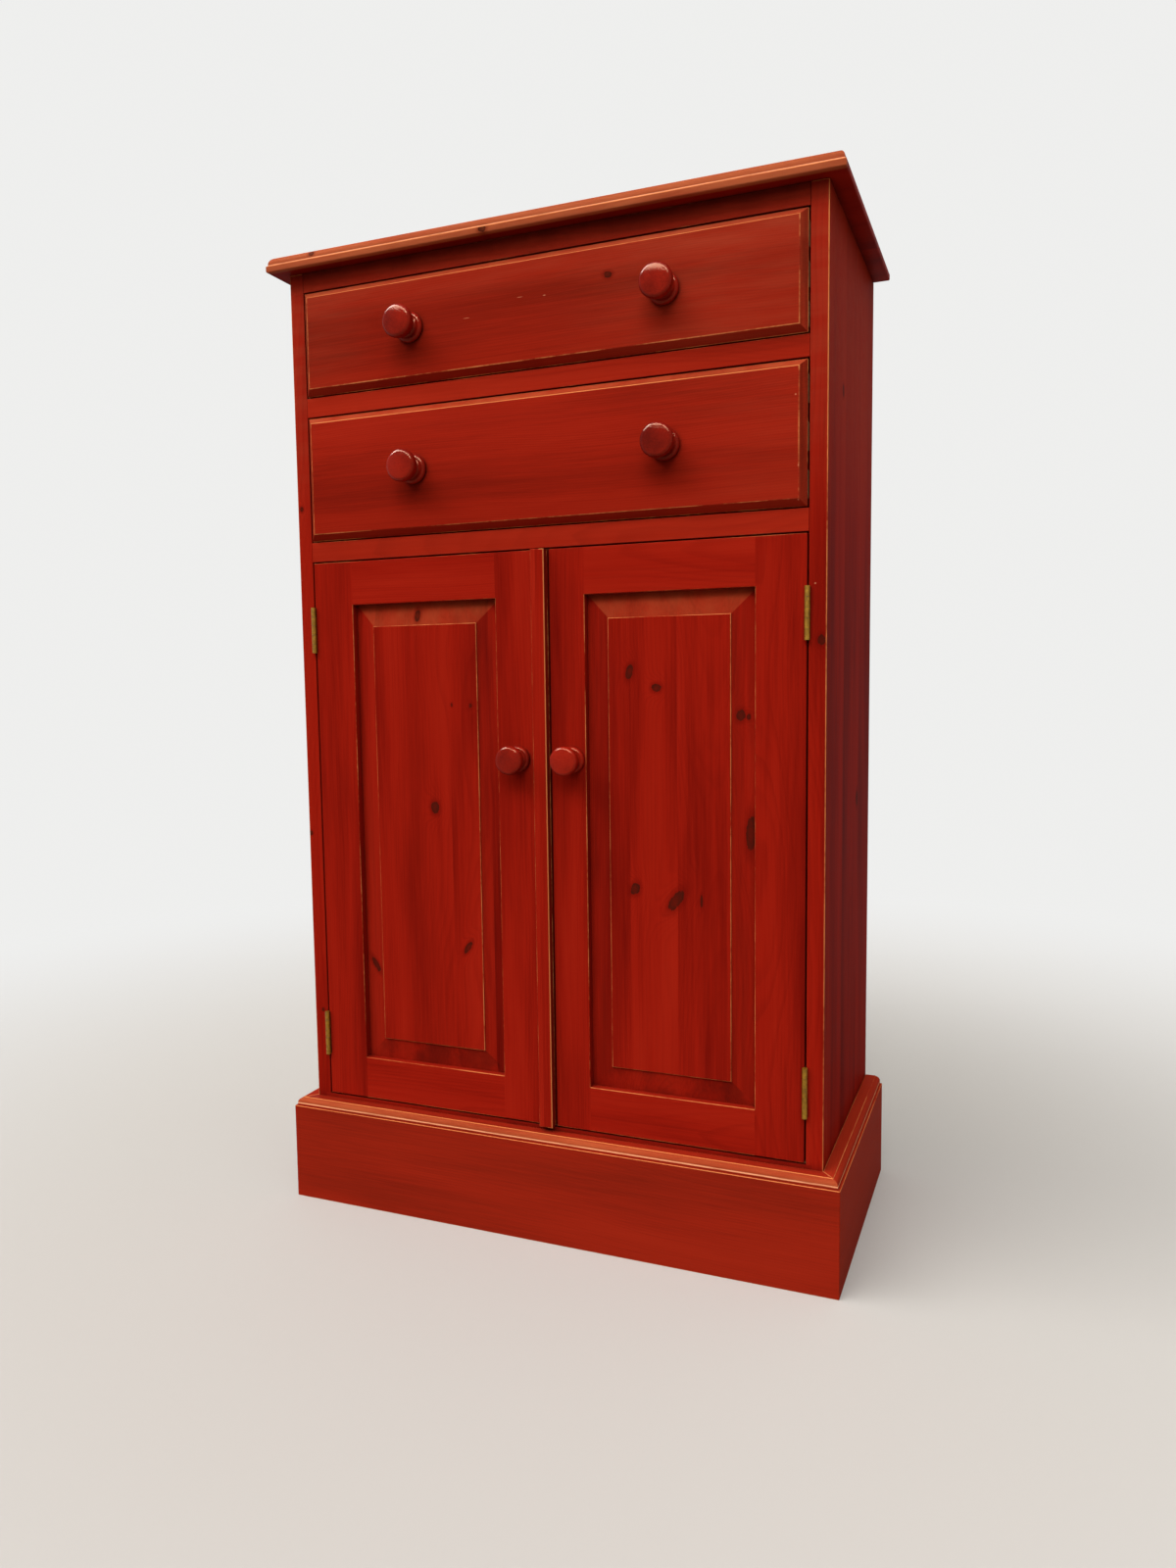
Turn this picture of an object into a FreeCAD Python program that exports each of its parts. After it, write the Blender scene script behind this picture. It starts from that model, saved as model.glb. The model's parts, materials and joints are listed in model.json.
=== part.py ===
import FreeCAD, Part
import math
import os
import re
import Sketcher

# A pine cupboard with two drawers over two panelled doors, on a moulded skirting plinth.
# Millimetres. +Z is up, +Y runs from the front to the back. The origin is on the floor,
# under the middle of the box that holds the whole cupboard, knobs and plinth included.

doc = FreeCAD.newDocument("pine_cupboard")
sheet = doc.addObject("Spreadsheet::Sheet", "Sizes")

# Every driving size, once. Lengths in millimetres.
SIZES = [
    # carcass boards
    ("body_width", 584),
    ("body_depth", 284),
    ("body_height", 1035.5),
    ("side_thickness", 17),
    ("bottom_thickness", 17),
    ("floor_reveal", 3.9),
    ("housing_depth", 6),
    ("shelf_thickness", 17),
    ("shelf_height", 432),
    ("shelf_setback", 46),
    ("shelf_play", 0.5),
    ("batten_width", 14),
    ("batten_height", 22),
    ("batten_length", 190),
    # moulded top
    ("top_thickness", 17),
    ("top_overhang_side", 17.5),
    ("top_overhang_front", 18),
    ("top_round", 8.5),
    ("top_step_width", 1.6),
    ("top_step_rise", 1.5),
    # rails, kickers and runners round the drawers
    ("rail_depth", 60),
    ("top_rail_height", 20.5),
    ("middle_rail_height", 20.5),
    ("lower_rail_height", 21.3),
    ("upper_opening", 111.7),
    ("lower_opening", 134.9),
    ("runner_width", 25),
    ("back_rail_depth", 40),
    # tongued and grooved back
    ("back_thickness", 9),
    ("back_rebate", 8),
    ("tongue_length", 5),
    ("tongue_thickness", 3),
    ("tongue_play", 0.4),
    ("board_bevel", 1.8),
    # skirting plinth
    ("plinth_height", 116.3),
    ("plinth_thickness", 19.5),
    ("plinth_quirk", 0.7),
    ("plinth_round", 5),
    ("plinth_step_width", 2.5),
    ("plinth_step_rise", 2.9),
    ("block_side", 32),
    ("block_floor_gap", 6),
    # drawers
    ("drawer_gap", 1.5),
    ("drawer_lift", 1.2),
    ("runner_play", 0.3),
    ("front_thickness", 22),
    ("front_proud", 6.8),
    ("drawer_side_thickness", 10),
    ("drawer_side_drop", 4),
    ("drawer_back_thickness", 10),
    ("drawer_back_gap", 17),
    ("drawer_bottom_thickness", 6),
    ("drawer_groove_height", 8),
    ("drawer_groove_depth", 5),
    ("drawer_back_drop", 6),
    ("tail_length", 13),
    ("tail_flare", 2.4),
    ("stop_width", 34),
    ("stop_depth", 16),
    ("stop_height", 5),
    ("stop_gap", 0.3),
    ("stop_spacing", 300),
    # doors
    ("door_gap", 1.5),
    ("meeting_gap", 2),
    ("meeting_offset", 9.5),
    ("door_thickness", 20),
    ("outer_stile", 49),
    ("left_inner_stile", 59.5),
    ("right_inner_stile", 38.5),
    ("door_rail_height", 47),
    ("groove_depth", 7),
    ("groove_front", 9.3),
    ("groove_width", 6.9),
    ("panel_play", 0.2),
    ("panel_edge_play", 1),
    ("bevel_width", 24),
    ("bevel_depth", 7.5),
    ("field_step", 1.8),
    ("strip_width", 15),
    ("strip_thickness", 8.5),
    # turned knobs
    ("drawer_knob_spacing", 277),
    ("drawer_knob_radius", 16.6),
    ("drawer_knob_base", 15.5),
    ("drawer_knob_neck", 7.8),
    ("drawer_knob_length", 31.5),
    ("door_knob_radius", 15),
    ("door_knob_base", 13.8),
    ("door_knob_neck", 7),
    ("door_knob_length", 28.5),
    ("door_knob_height", 511.5),
    ("left_knob_offset", 28),
    ("right_knob_offset", 33),
    ("spigot_radius", 5),
    ("spigot_length", 14),
    # brass butt hinges
    ("hinge_length", 50),
    ("hinge_head_end", 48.5),
    ("hinge_foot_end", 46),
    ("leaf_thickness", 1.2),
    ("leaf_width", 11.3),
    ("knuckle_radius", 2.6),
    ("knuckle_stand", 0.1),
    ("pin_radius", 1.1),
    ("pin_play", 0.05),
    ("knuckle_play", 0.15),
    ("screw_radius", 1.5),
    ("screw_head", 2.7),
    ("screw_length", 12),
    ("screw_pitch", 17),
    ("leaf_play", 0.2),
    # magnetic catch
    ("catch_width", 46),
    ("catch_height", 13),
    ("catch_depth", 16),
    ("catch_play", 0.3),
    ("strike_thickness", 1),
    ("strike_width", 15),
    ("strike_height", 11),
    ("strike_spacing", 24),
    # overrun of the cutting outlines
    ("cut_overrun", 5),
]
for row, (name, number) in enumerate(SIZES, start=1):
    sheet.set("A%d" % row, name)
    sheet.set("B%d" % row, str(number))
    sheet.setAlias("B%d" % row, name)
doc.recompute()


# Derived places, written once in the sheet's own words. Each is a signed sum in brackets.
KNOB_REACH = "(front_proud + drawer_knob_length)"
FRONT = "(-(body_depth - %s) / 2)" % KNOB_REACH
INNER_WIDTH = "(body_width - 2 * side_thickness)"
INNER_DEPTH = "(body_depth - back_thickness)"
TOP_RAIL_UNDER = "(body_height - top_rail_height)"
MIDDLE_RAIL_TOP = "(%s - upper_opening)" % TOP_RAIL_UNDER
MIDDLE_RAIL_UNDER = "(%s - middle_rail_height)" % MIDDLE_RAIL_TOP
LOWER_RAIL_TOP = "(%s - lower_opening)" % MIDDLE_RAIL_UNDER
LOWER_RAIL_UNDER = "(%s - lower_rail_height)" % LOWER_RAIL_TOP
CUPBOARD_FLOOR = "(plinth_height + floor_reveal)"
BOTTOM_UNDER = "(%s - bottom_thickness)" % CUPBOARD_FLOOR
DOOR_BOTTOM = "(%s + door_gap)" % CUPBOARD_FLOOR
DOOR_HEIGHT = "(%s - %s - 2 * door_gap)" % (LOWER_RAIL_UNDER, CUPBOARD_FLOOR)
DOOR_REACH = "(%s / 2 - door_gap)" % INNER_WIDTH
LEFT_DOOR_WIDTH = "(%s + meeting_offset)" % DOOR_REACH
RIGHT_DOOR_WIDTH = "(%s - meeting_offset - meeting_gap)" % DOOR_REACH
DRAWER_LENGTH = "(%s - drawer_back_gap)" % INNER_DEPTH
PIN_X = "(%s / 2 - door_gap / 2)" % INNER_WIDTH
PIN_Y = "(-(knuckle_radius + knuckle_stand))"


def sized(text):
    """The same sum with every size's name pointing at its cell. A word before a bracket is a function."""
    return re.sub(r"\b([a-z][a-z_]*)\b(?!\()", r"Sizes.\1", text)


def bind(item, **sums):
    """Binds properties of an object to sums of sizes."""
    for name, text in sums.items():
        item.setExpression(name, sized(text))


def place(item, x, y, z):
    """Puts an object at sums of sizes: x from the middle, y from the front plane, z from the floor."""
    item.setExpression("Placement.Base.x", sized(x))
    item.setExpression("Placement.Base.y", sized("%s + %s" % (FRONT, y)))
    item.setExpression("Placement.Base.z", sized(z))


def box(name, x, y, z, length, width, height):
    """A plain block, in place."""
    item = doc.addObject("Part::Box", name)
    bind(item, Length=length, Width=width, Height=height)
    place(item, x, y, z)
    return item


def group(name, items):
    """Several loose solids of one kind under one name."""
    item = doc.addObject("Part::Compound", name)
    item.Links = items
    item.Label = name
    return item


def body_at(name, x, y, z):
    """An empty body with its own corner at a place."""
    body = doc.addObject("PartDesign::Body", name)
    body.Label = name
    place(body, x, y, z)
    return body


def drawing(body, plane, name, lift="0"):
    """A sketch on one of the body's own origin planes, raised along the plane's normal by a sum."""
    sketch = body.newObject("Sketcher::SketchObject", name)
    origin = [item for item in body.Origin.OriginFeatures if item.Role == plane][0]
    sketch.AttachmentSupport = [(origin, "")]
    sketch.MapMode = "FlatFace"
    if lift != "0":
        sketch.setExpression("AttachmentOffset.Base.z", sized(lift))
    return sketch


def arc_between(start, end, radius, turn):
    """The arc of a radius from start to end that turns left (1) or right (-1)."""
    middle = ((start[0] + end[0]) / 2, (start[1] + end[1]) / 2)
    half = math.dist(start, end) / 2
    rise = math.sqrt(max(radius * radius - half * half, 0))
    across = ((end[0] - start[0]) / (2 * half), (end[1] - start[1]) / (2 * half))
    centre = (middle[0] - turn * across[1] * rise, middle[1] + turn * across[0] * rise)
    circle = Part.Circle(FreeCAD.Vector(*centre, 0), FreeCAD.Vector(0, 0, 1), radius)
    first, last = (start, end) if turn > 0 else (end, start)
    angles = [math.atan2(p[1] - centre[1], p[0] - centre[0]) for p in (first, last)]
    if angles[1] < angles[0]:
        angles[1] += 2 * math.pi
    return Part.ArcOfCircle(circle, angles[0], angles[1])


# The radius of a quarter round, as a share of the straight line between its ends.
QUARTER_ROUND_SHARE = 0.7071068


def outline(sketch, points, arcs=None):
    """A closed outline. Each corner is held by two sums of sizes. arcs gives, for the corner that
    a round stretch leaves, its radius as a share of the straight line between its ends, and
    whether it turns left (1) or right (-1)."""
    arcs = arcs or {}
    corners = [tuple(float(sketch.evalExpression(sized(word))) for word in point) for point in points]
    ends = []
    for index, start in enumerate(corners):
        end = corners[(index + 1) % len(corners)]
        if index in arcs:
            share, turn = arcs[index]
            here, there = points[index], points[(index + 1) % len(points)]
            across = "(%s - (%s)) ^ 2" % (here[0], there[0])
            up = "(%s - (%s)) ^ 2" % (here[1], there[1])
            radius = "sqrt(%s + %s) * %s" % (across, up, share)
            size = float(sketch.evalExpression(sized(radius)))
            edge = sketch.addGeometry(arc_between(start, end, size, turn), False)
            ends.append((edge, 1, 2) if turn > 0 else (edge, 2, 1))
            held = sketch.addConstraint(Sketcher.Constraint("Radius", edge, size))
            sketch.setExpression("Constraints[%d]" % held, sized(radius))
        else:
            line = Part.LineSegment(FreeCAD.Vector(*start, 0), FreeCAD.Vector(*end, 0))
            ends.append((sketch.addGeometry(line, False), 1, 2))
    for index, (edge, first, last) in enumerate(ends):
        following = ends[(index + 1) % len(ends)]
        sketch.addConstraint(Sketcher.Constraint("Coincident", edge, last, following[0], following[1]))
        names = ("DistanceX", "DistanceY")
        for kind, axis, word, number in zip(names, (-2, -1), points[index], corners[index]):
            if word == "0":
                sketch.addConstraint(Sketcher.Constraint("PointOnObject", edge, first, axis))
            else:
                held = sketch.addConstraint(Sketcher.Constraint(kind, -1, 1, edge, first, number))
                sketch.setExpression("Constraints[%d]" % held, sized(word))


def rectangle(sketch, left, low, width, height):
    """A rectangle from its lower left corner."""
    right = "%s + %s" % (left, width)
    high = "%s + %s" % (low, height)
    outline(sketch, [(left, low), (right, low), (right, high), (left, high)])


# The XZ plane's normal points to the front (-Y), the YZ plane's to the right, the XY plane's up.
# A pad goes into the body's own corner: back, right or up, and so does a pocket.
INWARD = {"XZ_Plane": True, "YZ_Plane": False, "XY_Plane": False}


def pad(body, plane, name, length, lift="0"):
    """A pad that runs back, right or up from its plane. Returns its sketch and itself."""
    sketch = drawing(body, plane, name + "_outline", lift)
    feature = body.newObject("PartDesign::Pad", name)
    feature.Profile = sketch
    feature.Reversed = INWARD[plane]
    bind(feature, Length=length)
    return sketch, feature


CUTS = []


def pocket(body, plane, name, length=None, lift="0"):
    """A pocket that runs back, right or up from its plane, right through unless it has a length."""
    before = body.Tip
    sketch = drawing(body, plane, name + "_outline", lift)
    feature = body.newObject("PartDesign::Pocket", name)
    feature.Profile = sketch
    feature.Reversed = not INWARD[plane]
    if length is None:
        feature.Type = "ThroughAll"
    else:
        bind(feature, Length=length)
    CUTS.append((before, feature))
    return sketch


PARTS = []


def keep(item):
    """Adds a finished piece to those that are written out."""
    item.Label = item.Name
    PARTS.append(item)
    return item


def board(name, x, y, z, length, width, height):
    """A plain planed board or block, in place."""
    return keep(box(name, x, y, z, length, width, height))


def make_top():
    """The top board. Its front and ends have a square edge, a small step and a round."""
    length = "(body_width + 2 * top_overhang_side)"
    width = "(body_depth + top_overhang_front)"
    body = body_at("top_board", "-%s / 2" % length, "-top_overhang_front", "body_height")
    plan, block = pad(body, "XY_Plane", "top_block", "top_thickness")
    rectangle(plan, "0", "0", length, width)
    square = "(top_thickness - top_round - top_step_rise)"
    inset = "(top_step_width + top_round)"

    def waste(sketch, across, turn):
        """The wood that the cutter takes off one edge, drawn across from that edge."""
        points = [
            (across("-cut_overrun"), square),
            (across("top_step_width"), square),
            (across("top_step_width"), "top_thickness - top_round"),
            (across(inset), "top_thickness"),
            (across(inset), "top_thickness + cut_overrun"),
            (across("-cut_overrun"), "top_thickness + cut_overrun"),
        ]
        outline(sketch, points, {2: (QUARTER_ROUND_SHARE, -turn)})

    waste(pocket(body, "YZ_Plane", "front_moulding"), lambda word: word, 1)
    waste(pocket(body, "XZ_Plane", "left_moulding"), lambda word: word, 1)
    waste(pocket(body, "XZ_Plane", "right_moulding"), lambda word: "%s - (%s)" % (length, word), -1)
    keep(body)


def leaf_places():
    """The heights of the lower ends of the two hinges of a door."""
    low = "(%s + hinge_foot_end)" % DOOR_BOTTOM
    high = "(%s + %s - hinge_head_end - hinge_length)" % (DOOR_BOTTOM, DOOR_HEIGHT)
    return low, high


def make_side(name, hand):
    """A side board, rebated for the back, housed for the bottom and let in for two hinge leaves."""
    left = "-body_width / 2" if hand < 0 else "%s / 2" % INNER_WIDTH
    body = body_at(name, left, "0", "0")
    face, block = pad(body, "YZ_Plane", name + "_block", "side_thickness")
    rectangle(face, "0", "0", "body_depth", "body_height")
    inner = "side_thickness" if hand < 0 else "0"

    def inward(depth):
        """Where a cut of a depth from the inner face begins."""
        return "%s - %s" % (inner, depth) if hand < 0 else inner

    rebate = pocket(body, "XY_Plane", name + "_rebate")
    rectangle(rebate, inward("back_rebate"), INNER_DEPTH, "back_rebate", "back_thickness")
    housing = pocket(body, "YZ_Plane", name + "_housing", "housing_depth", inward("housing_depth"))
    rectangle(housing, "0", BOTTOM_UNDER, INNER_DEPTH, "bottom_thickness")
    gains = pocket(body, "YZ_Plane", name + "_gains", "leaf_thickness", inward("leaf_thickness"))
    holes_start = inward("(leaf_thickness + screw_length)")
    holes = pocket(body, "YZ_Plane", name + "_pilot_holes", "leaf_thickness + screw_length", holes_start)
    for height in leaf_places():
        rectangle(gains, "0", height, "leaf_width + knuckle_stand + leaf_play", "hinge_length")
        for along in screw_heights(height):
            circle(holes, screw_depth(), along, "screw_radius")
    keep(body)


def circle(sketch, x, y, radius):
    """A circle held by three sums of sizes."""
    words = (x, y, radius)
    numbers = [float(sketch.evalExpression(sized(word))) for word in words]
    centre = FreeCAD.Vector(numbers[0], numbers[1], 0)
    edge = sketch.addGeometry(Part.Circle(centre, FreeCAD.Vector(0, 0, 1), numbers[2]), False)
    for kind, word, number in zip(("DistanceX", "DistanceY"), words, numbers):
        if word == "0":
            axis = -2 if kind == "DistanceX" else -1
            sketch.addConstraint(Sketcher.Constraint("PointOnObject", edge, 3, axis))
        else:
            held = sketch.addConstraint(Sketcher.Constraint(kind, -1, 1, edge, 3, number))
            sketch.setExpression("Constraints[%d]" % held, sized(word))
    held = sketch.addConstraint(Sketcher.Constraint("Radius", edge, numbers[2]))
    sketch.setExpression("Constraints[%d]" % held, sized(radius))


def screw_heights(low):
    """The heights of the three screws of a hinge leaf."""
    middle = "(%s + hinge_length / 2)" % low
    return ["%s - screw_pitch" % middle, middle, "%s + screw_pitch" % middle]


def screw_depth():
    """How far behind the front plane the hinge screws go in."""
    return "(%s + (leaf_width + 2 * knuckle_radius) / 2)" % PIN_Y


def make_carcass():
    """The boards between the sides: bottom, shelf and its battens, rails, kickers and runners."""
    half = "%s / 2" % INNER_WIDTH
    length = "(%s + 2 * housing_depth)" % INNER_WIDTH
    board("bottom_board", "-%s / 2" % length, "0", BOTTOM_UNDER, length, INNER_DEPTH, "bottom_thickness")
    board("shelf", "-%s + shelf_play" % half, "shelf_setback", "shelf_height - shelf_thickness",
          "%s - 2 * shelf_play" % INNER_WIDTH, "%s - shelf_setback" % INNER_DEPTH, "shelf_thickness")
    battens = [box("shelf_batten_" + side, x, "%s - batten_length" % INNER_DEPTH,
                   "shelf_height - shelf_thickness - batten_height",
                   "batten_width", "batten_length", "batten_height")
               for side, x in (("left", "-" + half), ("right", half + " - batten_width"))]
    keep(group("shelf_battens", battens))
    levels = [
        ("top_rail_front", TOP_RAIL_UNDER, "top_rail_height"),
        ("middle_rail", MIDDLE_RAIL_UNDER, "middle_rail_height"),
        ("lower_rail", LOWER_RAIL_UNDER, "lower_rail_height"),
    ]
    for name, height, thickness in levels:
        board(name, "-" + half, "0", height, INNER_WIDTH, "rail_depth", thickness)
    board("top_rail_back", "-" + half, "%s - back_rail_depth" % INNER_DEPTH, TOP_RAIL_UNDER,
          INNER_WIDTH, "back_rail_depth", "top_rail_height")
    kicker_length = "%s - rail_depth - back_rail_depth" % INNER_DEPTH
    runner_length = "%s - rail_depth" % INNER_DEPTH
    strips = [
        ("top_kickers", TOP_RAIL_UNDER, "top_rail_height", kicker_length),
        ("upper_runners", MIDDLE_RAIL_UNDER, "middle_rail_height", runner_length),
        ("lower_runners", LOWER_RAIL_UNDER, "lower_rail_height", runner_length),
    ]
    for name, height, thickness, run in strips:
        pair = [box(name + "_" + side, x, "rail_depth", height, "runner_width", run, thickness)
                for side, x in (("left", "-" + half), ("right", half + " - runner_width"))]
        keep(group(name, pair))


BACK_BOARDS = 5


def make_back():
    """The back: upright boards, tongued and grooved, bevelled along their joints at the back."""
    span = "(%s + 2 * back_rebate)" % INNER_WIDTH
    pitch = "(%s / %d)" % (span, BACK_BOARDS)
    high = "(body_height - %s)" % BOTTOM_UNDER
    middle = "((back_thickness - tongue_thickness) / 2)"
    for index in range(BACK_BOARDS):
        name = "back_board_%d" % (index + 1)
        body = body_at(name, "-%s / 2 + %s * %d" % (span, pitch, index), INNER_DEPTH, BOTTOM_UNDER)
        plan, block = pad(body, "XY_Plane", name + "_block", high)
        outline(plan, [
            ("0", "0"),
            (pitch, "0"),
            (pitch, "back_thickness - board_bevel"),
            (pitch + " - board_bevel", "back_thickness"),
            ("board_bevel", "back_thickness"),
            ("0", "back_thickness - board_bevel"),
        ])
        if index < BACK_BOARDS - 1:
            tongue, block = pad(body, "XY_Plane", name + "_tongue", high)
            rectangle(tongue, pitch, middle, "tongue_length", "tongue_thickness")
        if index > 0:
            groove = pocket(body, "XY_Plane", name + "_groove")
            outline(groove, [
                ("-cut_overrun", middle + " - tongue_play"),
                ("tongue_length + tongue_play", middle + " - tongue_play"),
                ("tongue_length + tongue_play", middle + " + tongue_thickness + tongue_play"),
                ("-cut_overrun", middle + " + tongue_thickness + tongue_play"),
            ])
        keep(body)


def plinth_section(sketch, across, turn):
    """The section of a plinth board, drawn across from its outer face."""
    crown = "(plinth_height - plinth_quirk)"
    shoulder = "(%s - plinth_round - plinth_step_rise)" % crown
    points = [
        (across("0"), "0"),
        (across("plinth_thickness"), "0"),
        (across("plinth_thickness"), "plinth_height"),
        (across("(plinth_step_width + plinth_round)"), "plinth_height"),
        (across("(plinth_step_width + plinth_round)"), crown),
        (across("plinth_step_width"), "%s - plinth_round" % crown),
        (across("plinth_step_width"), shoulder),
        (across("0"), shoulder),
    ]
    outline(sketch, points, {4: (QUARTER_ROUND_SHARE, turn)})


def make_plinth():
    """The skirting plinth: three moulded boards mitred at the front, with glue blocks behind."""
    length = "(body_width + 2 * plinth_thickness)"
    depth = "(body_depth + plinth_thickness)"
    front = body_at("plinth_front", "-%s / 2" % length, "-plinth_thickness", "0")
    section, block = pad(front, "YZ_Plane", "plinth_front_block", length)
    plinth_section(section, lambda word: word, 1)
    ends = pocket(front, "XY_Plane", "plinth_front_mitres")
    far = "%s - plinth_thickness" % length
    outline(ends, [("0", "0"), ("plinth_thickness", "plinth_thickness"), ("0", "plinth_thickness")])
    outline(ends, [(length, "0"), (length, "plinth_thickness"), (far, "plinth_thickness")])
    keep(front)

    left = body_at("plinth_left", "-%s / 2" % length, "-plinth_thickness", "0")
    section, block = pad(left, "XZ_Plane", "plinth_left_block", depth)
    plinth_section(section, lambda word: word, 1)
    end = pocket(left, "XY_Plane", "plinth_left_mitre")
    outline(end, [("0", "0"), ("plinth_thickness", "0"), ("plinth_thickness", "plinth_thickness")])
    keep(left)

    right = body_at("plinth_right", "%s / 2 - plinth_thickness" % length, "-plinth_thickness", "0")
    section, block = pad(right, "XZ_Plane", "plinth_right_block", depth)
    plinth_section(section, lambda word: "plinth_thickness - %s" % word, -1)
    end = pocket(right, "XY_Plane", "plinth_right_mitre")
    outline(end, [("0", "0"), ("plinth_thickness", "0"), ("0", "plinth_thickness")])
    keep(right)

    half = "%s / 2" % INNER_WIDTH
    rise = "%s - block_floor_gap" % BOTTOM_UNDER
    places = [("left", "-" + half), ("middle", "-block_side / 2"), ("right", half + " - block_side")]
    blocks = [box("plinth_block_" + side, x, "0", "block_floor_gap", "block_side", "block_side", rise)
              for side, x in places]
    keep(group("plinth_blocks", blocks))


TAILS = 3
# Half of a tail's width where it leaves the side, as a share of the tails' pitch.
HALF_TAIL_SHARE = 0.25


def tail_outlines(sketch, start, base, height, direction):
    """The tails of a lapped dovetail: start is where they leave the drawer side, base its foot."""
    pitch = "(%s / %d)" % (height, TAILS)
    for index in range(TAILS):
        middle = "(%s + %s * %d + %s / 2)" % (base, pitch, index, pitch)
        narrow = "(%s * %s)" % (pitch, HALF_TAIL_SHARE)
        tip = "%s %s tail_length" % (start, direction)
        outline(sketch, [
            (start, "%s - %s" % (middle, narrow)),
            (start, "%s + %s" % (middle, narrow)),
            (tip, "%s + %s + tail_flare" % (middle, narrow)),
            (tip, "%s - %s - tail_flare" % (middle, narrow)),
        ])


def make_drawer(name, opening_low, opening):
    """One drawer: a chamfered front that stands proud, lapped and dovetailed sides, back and bottom."""
    front_width = "(%s - 2 * drawer_gap)" % INNER_WIDTH
    front_height = "(%s - drawer_lift - drawer_gap)" % opening
    low = "(%s + drawer_lift)" % opening_low
    side_low = "(%s + runner_play)" % opening_low
    side_high = "(%s + %s - drawer_side_drop)" % (low, front_height)
    side_height = "(%s - %s)" % (side_high, side_low)
    back_of_front = "(front_thickness - front_proud)"
    half = "(%s / 2)" % front_width
    groove_low = "(%s + drawer_groove_height)" % side_low

    front = body_at(name + "_front", "-" + half, "-front_proud", low)
    face, block = pad(front, "XZ_Plane", name + "_front_block", "front_thickness")
    rectangle(face, "0", "0", front_width, front_height)
    doc.recompute()
    bevel = front.newObject("PartDesign::Chamfer", name + "_front_chamfer")
    outer = min(enumerate(block.Shape.Faces), key=lambda item: item[1].CenterOfMass.y)
    bevel.Base = (block, ["Face%d" % (outer[0] + 1)])
    bind(bevel, Size="front_proud")
    for side, x in (("left", "0"), ("right", "%s - drawer_side_thickness" % front_width)):
        sockets = pocket(front, "YZ_Plane", "%s_front_sockets_%s" % (name, side),
                         "drawer_side_thickness", x)
        tail_outlines(sockets, "front_thickness", "%s - %s" % (side_low, low), side_height, "-")
    groove = pocket(front, "XZ_Plane", name + "_front_groove", "drawer_groove_depth",
                    "-(front_thickness - drawer_groove_depth)")
    rectangle(groove, "drawer_side_thickness - drawer_groove_depth", "%s - %s" % (groove_low, low),
              "%s - 2 * (drawer_side_thickness - drawer_groove_depth)" % front_width,
              "drawer_bottom_thickness")
    height = "%s / 2" % front_height
    holes = pocket(front, "XZ_Plane", name + "_front_knob_holes", "spigot_length")
    for sign in ("-", "+"):
        circle(holes, "%s %s drawer_knob_spacing / 2" % (half, sign), height, "spigot_radius")
    keep(front)

    run = "(%s - %s)" % (DRAWER_LENGTH, back_of_front)
    for side, x, inner in (("left", "-" + half, "drawer_side_thickness - drawer_groove_depth"),
                           ("right", half + " - drawer_side_thickness", "0")):
        body = body_at("%s_side_%s" % (name, side), x, back_of_front, side_low)
        face, block = pad(body, "YZ_Plane", "%s_side_%s_block" % (name, side), "drawer_side_thickness")
        rectangle(face, "0", "0", run, side_height)
        tails, block = pad(body, "YZ_Plane", "%s_side_%s_tails" % (name, side), "drawer_side_thickness")
        tail_outlines(tails, "0", "0", side_height, "-")
        groove = pocket(body, "YZ_Plane", "%s_side_%s_groove" % (name, side),
                        "drawer_groove_depth", inner)
        outline(groove, [
            ("-tail_length - cut_overrun", "drawer_groove_height"),
            (run + " + cut_overrun", "drawer_groove_height"),
            (run + " + cut_overrun", "drawer_groove_height + drawer_bottom_thickness"),
            ("-tail_length - cut_overrun", "drawer_groove_height + drawer_bottom_thickness"),
        ])
        keep(body)

    inside = "(%s - 2 * drawer_side_thickness)" % front_width
    panel_width = "(%s + 2 * drawer_groove_depth)" % inside
    board(name + "_bottom", "-%s / 2" % panel_width, "%s - drawer_groove_depth" % back_of_front, groove_low,
          panel_width, "%s + drawer_groove_depth" % run, "drawer_bottom_thickness")
    above = "(%s + drawer_bottom_thickness)" % groove_low
    board(name + "_back", "-%s / 2" % inside, "%s - drawer_back_thickness" % DRAWER_LENGTH, above,
          inside, "drawer_back_thickness", "%s - drawer_back_drop - %s" % (side_high, above))
    knob_height = "%s + %s" % (low, height)
    for side, sign in (("left", "-"), ("right", "")):
        make_knob("%s_knob_%s" % (name, side), "%sdrawer_knob_spacing / 2" % sign, "-front_proud",
                  knob_height, "drawer_knob_radius", "drawer_knob_base", "drawer_knob_neck",
                  "drawer_knob_length")


# A turned knob's outline above its face: of which radius each point has a share, the share of the
# knob's length that it stands at, and the round that leaves it (share of its chord, left or right).
KNOB_SHARES = [
    ("base", 0.94, 0, (1.74, 1)),
    ("base", 1, 0.095, (0.8, 1)),
    ("base", 0.81, 0.21, (0.66, -1)),
    ("neck", 1, 0.34, None),
    ("neck", 1, 0.38, (0.84, -1)),
    ("radius", 0.88, 0.56, (2, 1)),
    ("radius", 1, 0.82, (0.82, 1)),
]
# The crown that closes the head is part of a ball: its edge's share of the head's radius, and its
# rise as a share of the knob's length.
CROWN_EDGE_SHARE = 0.8
CROWN_RISE_SHARE = 0.045


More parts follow.
